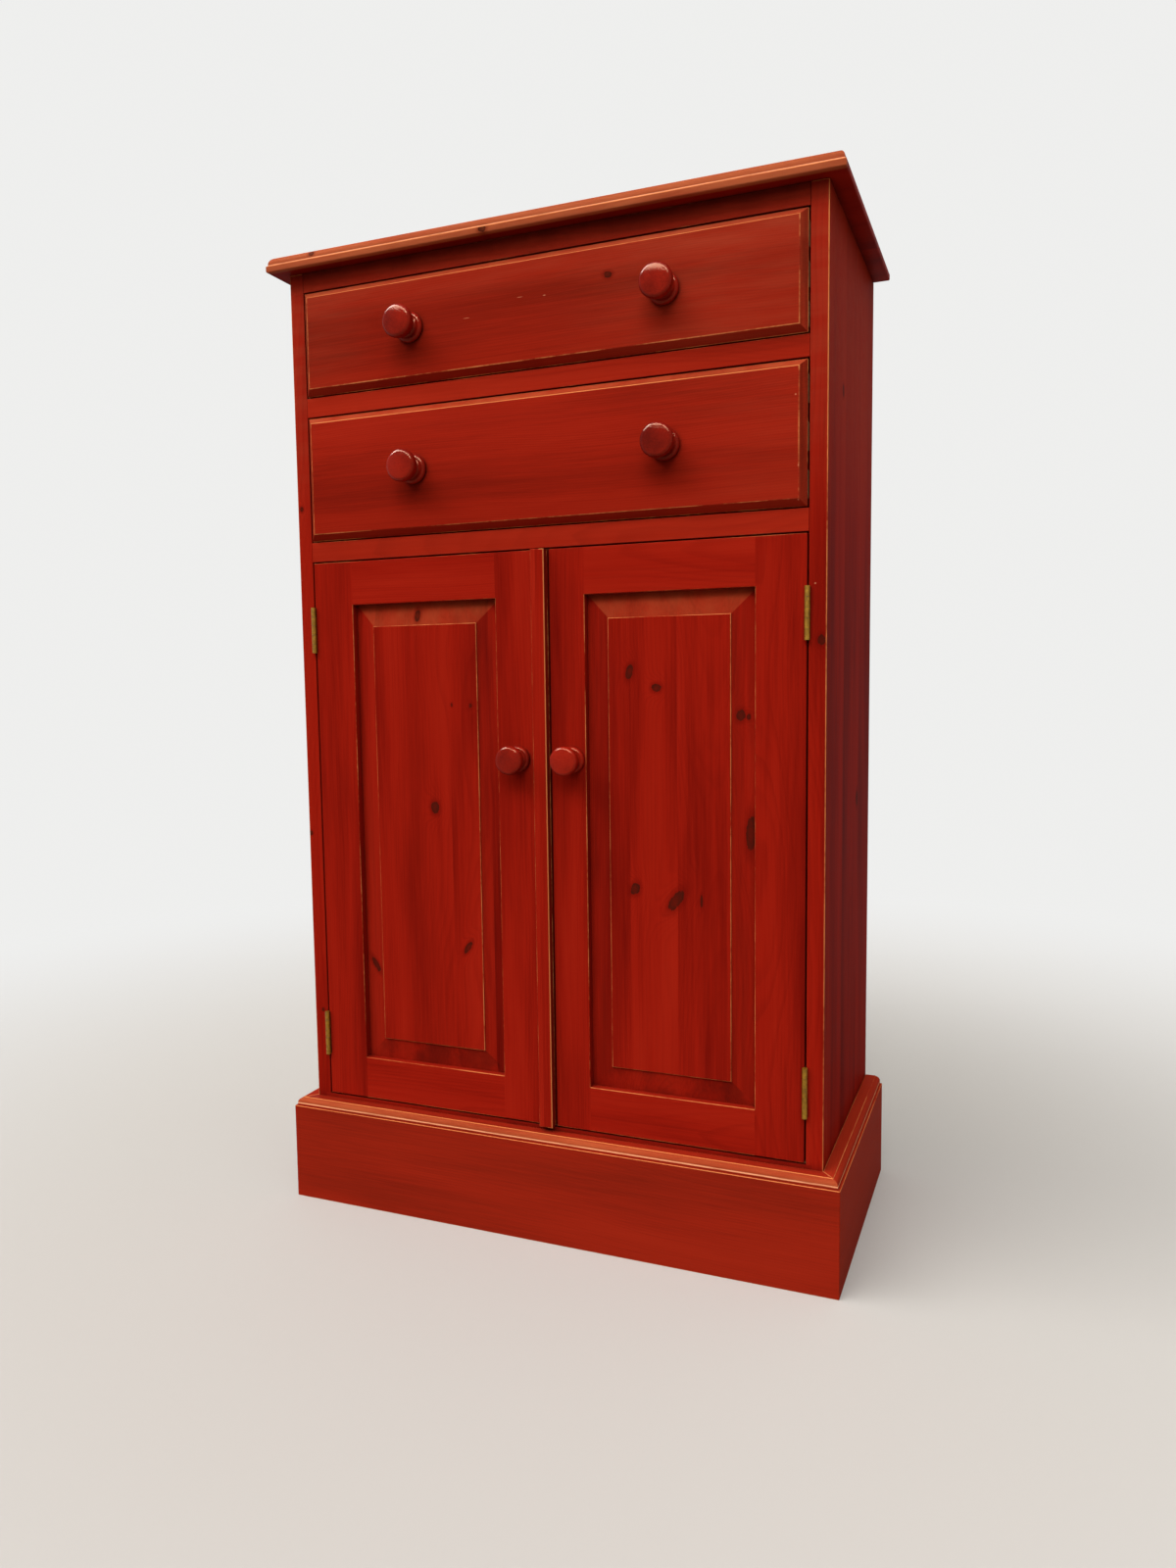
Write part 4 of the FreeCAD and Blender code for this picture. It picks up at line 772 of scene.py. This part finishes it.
# The bottom board and the shelf: level bare boards glued up from strips. The bottom board is
# housed in the sides, the shelf lies loose on two battens screwed to them.
def bare_pine(name, lie, board, heart, seed, **grain):
    """Bare pine for one board or a set of like boards."""
    material, tree, shader = shader_of(name)
    place, found = grain_of(tree, lie, board, heart, seed, **grain)
    grime_and_shade_mask = join(tree, add(tree, "Group", node_tree=grime_and_shade), {"Vector": place, "Amount": 1.0})
    finish = join(tree, add(tree, "Group", node_tree=bare_wood), {**found, "Grime And Shade": grime_and_shade_mask.outputs["Mask"]})
    tree.links.new(finish.outputs["Color"], shader.inputs["Base Color"])
    tree.links.new(sum_of(tree, "MULTIPLY_ADD", found["Fibre"], 0.2, 0.5), shader.inputs["Roughness"])
    bump = add(tree, "Bump", {"Height": finish.outputs["Height"], **WOOD_BUMP})
    tree.links.new(bump.outputs[0], shader.inputs["Normal"])
    shader.inputs["Specular IOR Level"].default_value = 0.3
    return material


def dress(name, material):
    """A CAD node keeps its shape and gets a finish."""
    nodes[name].material_slots[0].material = material


SHELF_KNOTS = [((-0.16, 0, 0.432), 0.006), ((0.09, 0.06, 0.432), 0.008)]
wood = bare_pine("shelf_pine", "flat", "shelf", (0.02, -0.05, 0), 11.0, strips=(0.076, -0.077),
                 knots=SHELF_KNOTS)
eased("shelf", wood)
EDGE_BARE = ((None, -0.1185, None), (None, None, None))
wood = stained_pine("bottom_pine", "flat", "bottom_board", (-0.03, 0.06, 0), 12.0, strips=(0.09, -0.12),
                    bare=EDGE_BARE)
dress("bottom_board", wood)
dress("shelf_battens", bare_pine("batten_pine", "level_side", "shelf_battens", (0.03, 0.02, 0), 13.0))


# The rails across the front: flat boards housed in the sides, stained on their front edges only.
# The top one carries the top, the others part the drawers from each other and from the doors.
# The top rail is darkened strongly and far from its corner, a painted shadow under the top's overhang. Every
# rail is lighter below the middle of the middle rail, so that rail stays darker along its top, a painted
# shadow under the upper drawer.
RAILS = [("top_rail_front", (0.03, 0.05, 0), 21.0, 0.02, 1.6, 0.03),
         ("middle_rail", (0.02, -0.06, 0), 22.0, 0.06, 0.8, 0.008),
         ("lower_rail", (-0.03, 0.05, 0), 23.0, 0.16, 0.8, 0.008)]
for name, heart, seed, lightness, grime_and_shade_amount, reach in RAILS:
    wood = stained_pine(name + "_pine", "level_front", name, heart, seed, bare=EDGE_BARE, rub_and_highlight=0.2, pale=0.07,
                        lightness=lightness, grime_and_shade_amount=grime_and_shade_amount, reach=reach, lighter=[(2, 0.897, 0.889, 0.08)],
                        bleached_and_sheen=[(2, 1.0, 1.014, 0.03)])
    ends = [((-0.3, -0.2, 0), (-0.27, 0, 1.1)), ((0.27, -0.2, 0), (0.3, 0, 1.1))]
    eased(name, wood, width=0.0006, joints=ends)
dress("top_rail_back", bare_pine("back_rail_pine", "level_front", "top_rail_back", (0.02, 0.05, 0), 24.0))


# What the drawers run on: pairs of bare bars screwed to the sides, kickers over the upper drawer
# that keep it level, and small blocks glued on the rails that stop each drawer.
BARS = [("upper_runners", (0.04, 0.02, 0), 31.0), ("lower_runners", (-0.03, 0.03, 0), 32.0),
        ("top_kickers", (0.03, -0.03, 0), 33.0), ("drawer_stops", (0.02, 0.03, 0), 34.0)]
for name, heart, seed in BARS:
    dress(name, bare_pine(name + "_pine", "level_side", name, heart, seed))


# The back: five bare upright boards, tongued and grooved, nailed into the rebates of the sides.
BACK_KNOTS = {
    1: [((-0.23, 0.16, 0.35), 0.009)], 2: [((-0.1, 0.16, 0.82), 0.011), ((-0.13, 0.16, 0.22), 0.006)],
    3: [((0.02, 0.16, 0.55), 0.008)], 4: [((0.13, 0.16, 0.3), 0.01), ((0.09, 0.16, 0.93), 0.006)],
    5: [((0.22, 0.16, 0.7), 0.012)],
}
for number, knots in BACK_KNOTS.items():
    name = "back_board_%d" % number
    heart = (0.03 * (-1) ** number, 0.05 + 0.01 * number, 0)
    dress(name, bare_pine(name + "_pine", "upright_front", name, heart, 40.0 + number, knots=knots))


# The plinth: three moulded boards with a step and a round along the top, mitred at the front
# corners and nailed on, with glue blocks behind the front one.
# The top of the moulding is paler, partly fading and partly a painted light, and a bright line along the
# round is a painted highlight.
ABOVE = (2, 0.108, 0.1102)
HIGHLIGHT_LINE = [(2, 0.1102, 0.0011)]
wood = stained_pine("plinth_front_pine", "level_front", "plinth_front", (0.08, 0.05, 0), 51.0, rub_and_highlight=1.1,
                    grime_and_shade_amount=0.5, pale=0.1, faded_and_lit=[ABOVE, (1, -0.1343, -0.1353)], streaks=HIGHLIGHT_LINE, clouds=0.6)
CORNERS = [((-0.313, -0.144, 0), (-0.309, -0.139, 0.1)), ((0.309, -0.144, 0), (0.313, -0.139, 0.1))]
eased("plinth_front", wood, width=0.0006, joints=CORNERS)
wood = stained_pine("plinth_left_pine", "level_side", "plinth_left", (-0.07, 0.05, 0), 52.0, rub_and_highlight=0.9,
                    grime_and_shade_amount=0.5, gloss=DULL_GLOSS, pale=0.1, faded_and_lit=[ABOVE, (0, -0.3035, -0.3045)],
                    streaks=HIGHLIGHT_LINE, clouds=0.6)
eased("plinth_left", wood, width=0.0006, joints=CORNERS)
wood = stained_pine("plinth_right_pine", "level_side", "plinth_right", (0.06, -0.06, 0), 53.0, rub_and_highlight=0.65,
                    grime_and_shade_amount=0.6, gloss=DULL_GLOSS, pale=0.16, streaks=HIGHLIGHT_LINE, polish=-0.1, clouds=0.6)
eased("plinth_right", wood, width=0.0006, joints=CORNERS)
dress("plinth_blocks", bare_pine("block_pine", "level_front", "plinth_blocks", (0.03, 0.03, 0), 54.0))


# The top: a level board glued up from three, moulded along its front and ends with a step over
# a round, screwed on from below. Its underside is stained where it stands out, bare inside.
TOP_BARE = ((-INNER, -0.1195, None), (INNER, 0.16, 1.0358))
EDGE_KNOT = (0.1, 1, 0.75)
TOP_KNOTS = [((-0.0468, -0.1408, 1.0398), 0.0032, EDGE_KNOT), ((-0.252, -0.1408, 1.0477), 0.0025, EDGE_KNOT),
             ((0.14, 0.04, 1.0525), 0.009), ((-0.17, 0.09, 1.0525), 0.007)]
# The front edge is paler, partly wear and partly a painted light, and the two bright lines along the step
# and the top of the round are painted highlights.
FRONT_EDGE = (1, -0.1335, -0.138)
TOP_HIGHLIGHT_LINES = [(2, 1.0431, 0.0008), (2, 1.0518, 0.0009)]
wood = stained_pine("top_pine", "flat", "top_board", (0.05, -0.06, 0), 61.0, strips=(0.1, -0.141),
                    contrast=0.12, knots=TOP_KNOTS, bare=TOP_BARE, gloss=0.004, rub_and_highlight=0.75,
                    faded_and_lit=[FRONT_EDGE], streaks=TOP_HIGHLIGHT_LINES, bleached_and_sheen=[(*FRONT_EDGE, 0.12)], grime_and_shade_amount=1.2)
UNDER = [((-0.32, -0.15, 1.03), (0.32, 0.17, 1.0385))]
ROUNDED = [((-0.32, -0.1415, 1.035), (0.32, -0.1402, 1.036)),
           ((-0.31, -0.15, 1.035), (-0.309, 0.17, 1.036)),
           ((0.309, -0.15, 1.035), (0.31, 0.17, 1.036))]
eased("top_board", wood, width=0.001, joints=UNDER, rounds=ROUNDED)


# The drawer fronts: level boards, chamfered on all four edges and standing proud of the rails,
# stained in front and bare behind.
FRONT_BARE = ((None, -0.109, None), (None, None, None))
UPPER_KNOTS = [((0.0815, -0.1297, 0.9807), 0.003)]
# How pale the upper chamfer is, a painted light; how dark the lower one and the side ones are, partly grime
# and partly painted shade; and how pale the side ones are, a painted light.
CHAMFER_LIGHT_AND_GRIME = (0.6, 0.12, 0.5, 0.15)
UPPER_MARKS = [((-0.0123, 0, 0.9726), 0.0035, 0.0003), ((-0.0726, 0, 0.9603), 0.004, 0.0003),
               ((0.0144, 0, 0.9707), 0.0017, 0.0005)]
LOWER_MARKS = [((0.2635, 0, 0.849), 0.0008, 0.0008), ((0.2662, 0, 0.7857), 0.0007, 0.001),
               ((0.2661, 0, 0.7548), 0.0008, 0.0008)]
# Each front gets broad pale patches, partly a painted sheen of the wax, and its upper arris is rubbed
# brighter, partly a painted highlight where it faces the light.
wood = stained_pine("upper_front_pine", "level_front", "upper_drawer_front", (-0.11, 0.03, 0), 71.0,
                    knots=UPPER_KNOTS, bare=FRONT_BARE, rub_and_highlight=0.5, pale=0.07, taper=0.006, ring=0.002,
                    lightness=-0.11, clouds=0.6,
                    lighter=[(0, 0.05, 0.24, 0.1), (2, 0.972, 0.998, 0.15), (2, 0.94, 0.915, 0.06)],
                    bleached_and_sheen=[(0, -0.02, 0.2, 0.045), (2, 0.972, 1.0, 0.035), (0, -0.17, -0.25, 0.03)],
                    rub_and_highlight_past=(2, 1.0, 1.005, 0.4),
                    field=(-0.2667, 0.2667, 0.9113, 1.0067), slopes=CHAMFER_LIGHT_AND_GRIME, marks=UPPER_MARKS)
eased("upper_drawer_front", wood, joints=[((-0.28, -0.125, 1.0122), (0.28, -0.12, 1.015))])
wood = stained_pine("lower_front_pine", "level_front", "lower_drawer_front", (-0.12, 0.03, 0), 72.0,
                    bare=FRONT_BARE, rub_and_highlight=0.48, pale=0.05, taper=0.007, ring=0.0022,
                    lightness=-0.05, clouds=0.7,
                    lighter=[(0, 0.1, 0.26, 0.05), (2, 0.8, 0.765, 0.17)],
                    bleached_and_sheen=[(0, 0.1, 0.26, 0.02)], rub_and_highlight_past=(2, 0.868, 0.873, 0.4),
                    field=(-0.2667, 0.2667, 0.7559, 0.8745), slopes=CHAMFER_LIGHT_AND_GRIME, marks=LOWER_MARKS)
eased("lower_drawer_front", wood, joints=[((-0.28, -0.125, 0.88), (0.28, -0.12, 0.8828))])


# The drawer boxes: bare sides dovetailed into the front, a back housed between them, and a thin
# bottom held in grooves.
BOX_BOARDS = [("side_left", "level_side", (0.06, 0.03, 0), 1, ONE_STRIP),
              ("back", "level_front", (0.05, 0.04, 0), 3, ONE_STRIP),
              ("side_right", "level_side", (-0.05, 0.04, 0), 2, ONE_STRIP),
              ("bottom", "flat", (0.04, 0.05, 0), 4, (0.11, -0.12))]
for drawer, seed in (("upper_drawer", 80.0), ("lower_drawer", 90.0)):
    for part, lie, heart, step, strips in BOX_BOARDS:
        name = drawer + "_" + part
        dress(name, bare_pine(name + "_pine", lie, name, heart, seed + step, strips=strips))


# The doors: stiles and rails, tenoned and grooved together round a raised panel glued up from
# narrow strips. The panel is bevelled all round, its field lies just behind the frame.
TALL = (1, 0, 0.55)
SQUAT = (1, 0, 0.8)
LEFT_KNOTS = [((-0.1465, 0, 0.6641), 0.0034, TALL), ((-0.0825, 0, 0.5673), 0.0018),
              ((-0.1284, 0, 0.4573), 0.0047), ((-0.105, 0, 0.568), 0.0011, TALL),
              ((-0.0915, 0, 0.3057), 0.0034, TALL, 0.5), ((-0.2119, 0, 0.2759), 0.0042, TALL, -0.6)]
RIGHT_KNOTS = [((0.0966, 0, 0.5996), 0.0038, TALL, 0.2), ((0.1252, 0, 0.5838), 0.0046, (1, 0, 1.2)),
               ((0.2093, 0, 0.5566), 0.0042, SQUAT), ((0.2165, 0, 0.555), 0.002),
               ((0.2185, 0, 0.441), 0.0042, (1, 0, 0.24), 0.03), ((0.1008, 0, 0.3815), 0.0047, SQUAT, 0.2),
               ((0.1443, 0, 0.3722), 0.0062, (1, 0, 0.62), 0.52), ((0.1706, 0, 0.3729), 0.0012, (1, 0, 0.2))]
MEMBERS = [("left_stile", "upright_front", (0.05, 0.04, 0), 1, 0.45),
           ("right_stile", "upright_front", (-0.05, 0.05, 0), 2, 0.45),
           ("top_rail", "level_front", (0.05, 0.05, 0), 3, 0.45),
           ("bottom_rail", "level_front", (-0.04, 0.05, 0), 4, 0.85)]
LEFT_TONES = {"left_stile": -0.03, "right_stile": -0.03, "top_rail": 0.0, "bottom_rail": 0.08}
RIGHT_TONES = {"left_stile": -0.07, "right_stile": -0.07, "top_rail": 0.2, "bottom_rail": 0.08}
DOORS = [("left_door", 100.0, LEFT_KNOTS, (0.046, -0.2), (-0.2245, -0.05), (-0.2735,), LEFT_TONES),
         ("right_door", 110.0, RIGHT_KNOTS, (0.05, 0.046), (0.05, 0.2245), (0.0115, 0.2735), RIGHT_TONES)]
OPENING = (0.1687, 0.6781)
FREE_END = 0.0015
BEVEL = 0.024
for door, seed, knots, strips, sight, closing, tones in DOORS:
    joints = [((edge - NEAR, -0.13, 0.1), (edge + NEAR, -0.09, 0.75)) for edge in closing]
    flush = []
    for edge in sight:
        for start, end in ((0.1, OPENING[0] - FREE_END), (OPENING[1] + FREE_END, 0.75)):
            flush.append(((edge - NEAR, -0.13, start), (edge + NEAR, -0.09, end)))
    for part, lie, heart, step, rub_and_highlight in MEMBERS:
        name = door + "_" + part
        wood = stained_pine(name + "_pine", lie, name, heart, seed + step, rub_and_highlight=rub_and_highlight, lightness=tones[part],
                            taper=0.012, ring=0.0021, grime_and_shade_amount=0.7)
        cuts = [((0, 0, height), (0, 0, 1)) for height in OPENING] if "stile" in part else []
        eased(name, wood, joints=joints, cuts=cuts, flush=flush)
    # The panel's upper slopes are paler, a painted light, and its lower and side slopes are darker in
    # patches and streaks, partly grime and partly painted shade.
    name = door + "_panel"
    field = (sight[0] + BEVEL, sight[1] - BEVEL, OPENING[0] + BEVEL, OPENING[1] - BEVEL)
    wood = stained_pine(name + "_pine", "upright_front", name, (0.04, 0.07, 0), seed, lightness=-0.02,
                        contrast=0.038, knots=knots, strips=strips, rub_and_highlight=0.6, grime_and_shade_amount=0.65, taper=0.008,
                        ring=0.002, field=field, slopes=(0.42, 0.5, 0.22, 0.0))
    eased(name, wood)


# The cover strip: a planted slip over the joint of the doors, fixed on the left one. Both of its arrises are
# rubbed bright by hands, the pale partly a painted highlight, and its right side face is darkened, a painted
# shade.
wood = stained_pine("cover_strip_pine", "upright_front", "cover_strip", (0.03, 0.03, 0), 120.0, rub_and_highlight=0.4,
                    taper=0.01, rub_and_highlight_past=(0, 0.004, 0.005, 0.75), painted_shade_past=(0, 0.0091, 0.0094, 0.45))
eased("cover_strip", wood, width=0.0008)


# The knobs: turned from pine with the grain running outwards, a spreading foot, a narrow neck and
# a round head, glued in. Hands keep their heads glossy.
KNOBS = ["upper_drawer_knob_left", "upper_drawer_knob_right", "lower_drawer_knob_left",
         "lower_drawer_knob_right", "left_door_knob", "right_door_knob"]
for step, name in enumerate(KNOBS):
    wood = stained_pine(name + "_pine", "outward", name, (0.02, 0.03, 0), 130.0 + step, rub_and_highlight=0.35, grime_and_shade_amount=0.9,
                        polish=0.33, lightness=-0.08, gloss=0.14, ring=0.0024, turned_piece=True)
    dress(name, wood)


# The hinges: steel butts with rolled knuckles, brassed and long since dulled, on steel pins.
# Each leaf is let into the wood and held by three countersunk screws.
BRASS = (0.2, 0.095, 0.004, 1)
BRASS_BRIGHT = (0.32, 0.165, 0.011, 1)
BRASS_TARNISHED = (0.13, 0.06, 0.008, 1)
BRASS_GRIME = (0.035, 0.014, 0.007, 1)
brass, tree, shader = shader_of("old_brass")
place = add(tree, "TexCoord").outputs["Object"]
grime_and_shade_mask = join(tree, add(tree, "Group", node_tree=grime_and_shade), {"Vector": place, "Reach": 0.004, "Amount": 1.3})
spots = noise(tree, place, (310.0, 310.0, 310.0), 4.0, 0.62).outputs[0]
streaks = noise(tree, place, (700.0, 700.0, 90.0), 3.0, 0.6).outputs[0]
colour = blended(tree, eased_step(tree, spots, 0.35, 0.68), BRASS, BRASS_BRIGHT)
colour = blended(tree, eased_step(tree, streaks, 0.56, 0.72), colour, BRASS_TARNISHED)
colour = blended(tree, grime_and_shade_mask.outputs["Mask"], colour, BRASS_GRIME)
tree.links.new(colour, shader.inputs["Base Color"])
tree.links.new(eased_step(tree, streaks, 0.3, 0.75, 0.3, 0.62), shader.inputs["Roughness"])
shader.inputs["Metallic"].default_value = 0.55
bump = add(tree, "Bump", {"Height": spots, "Strength": 0.2, "Distance": 0.0002})
tree.links.new(bump.outputs[0], shader.inputs["Normal"])
for name in ("carcass_hinge_leaves", "left_door_hinge_leaves", "right_door_hinge_leaves", "hinge_pins",
             "carcass_hinge_screws", "left_door_hinge_screws", "right_door_hinge_screws"):
    dress(name, brass)


# The catch: a magnet in a plastic case, screwed under the lower rail, and a small steel strike
# on the back of each door.
CASE = (0.26, 0.145, 0.075, 1)
CASE_PALE = (0.34, 0.2, 0.11, 1)
STEEL = (0.33, 0.32, 0.31, 1)
STEEL_BRIGHT = (0.5, 0.49, 0.48, 1)
case, tree, shader = shader_of("catch_case")
place = add(tree, "TexCoord").outputs["Object"]
grainy = noise(tree, place, (900.0, 900.0, 900.0), 2.0).outputs[0]
cloudy = noise(tree, place, (60.0, 60.0, 60.0), 3.0).outputs[0]
tree.links.new(blended(tree, cloudy, CASE, CASE_PALE), shader.inputs["Base Color"])
tree.links.new(eased_step(tree, grainy, 0.2, 0.8, 0.45, 0.6), shader.inputs["Roughness"])
dress("door_catch", case)
steel, tree, shader = shader_of("strike_steel")
place = add(tree, "TexCoord").outputs["Object"]
rolled = noise(tree, place, (1400.0, 1400.0, 120.0), 3.0, 0.6).outputs[0]
cloudy = noise(tree, place, (110.0, 110.0, 110.0), 3.0).outputs[0]
tree.links.new(blended(tree, cloudy, STEEL, STEEL_BRIGHT), shader.inputs["Base Color"])
tree.links.new(eased_step(tree, rolled, 0.2, 0.8, 0.3, 0.5), shader.inputs["Roughness"])
shader.inputs["Metallic"].default_value = 1.0
dress("left_door_strike", steel)
dress("right_door_strike", steel)
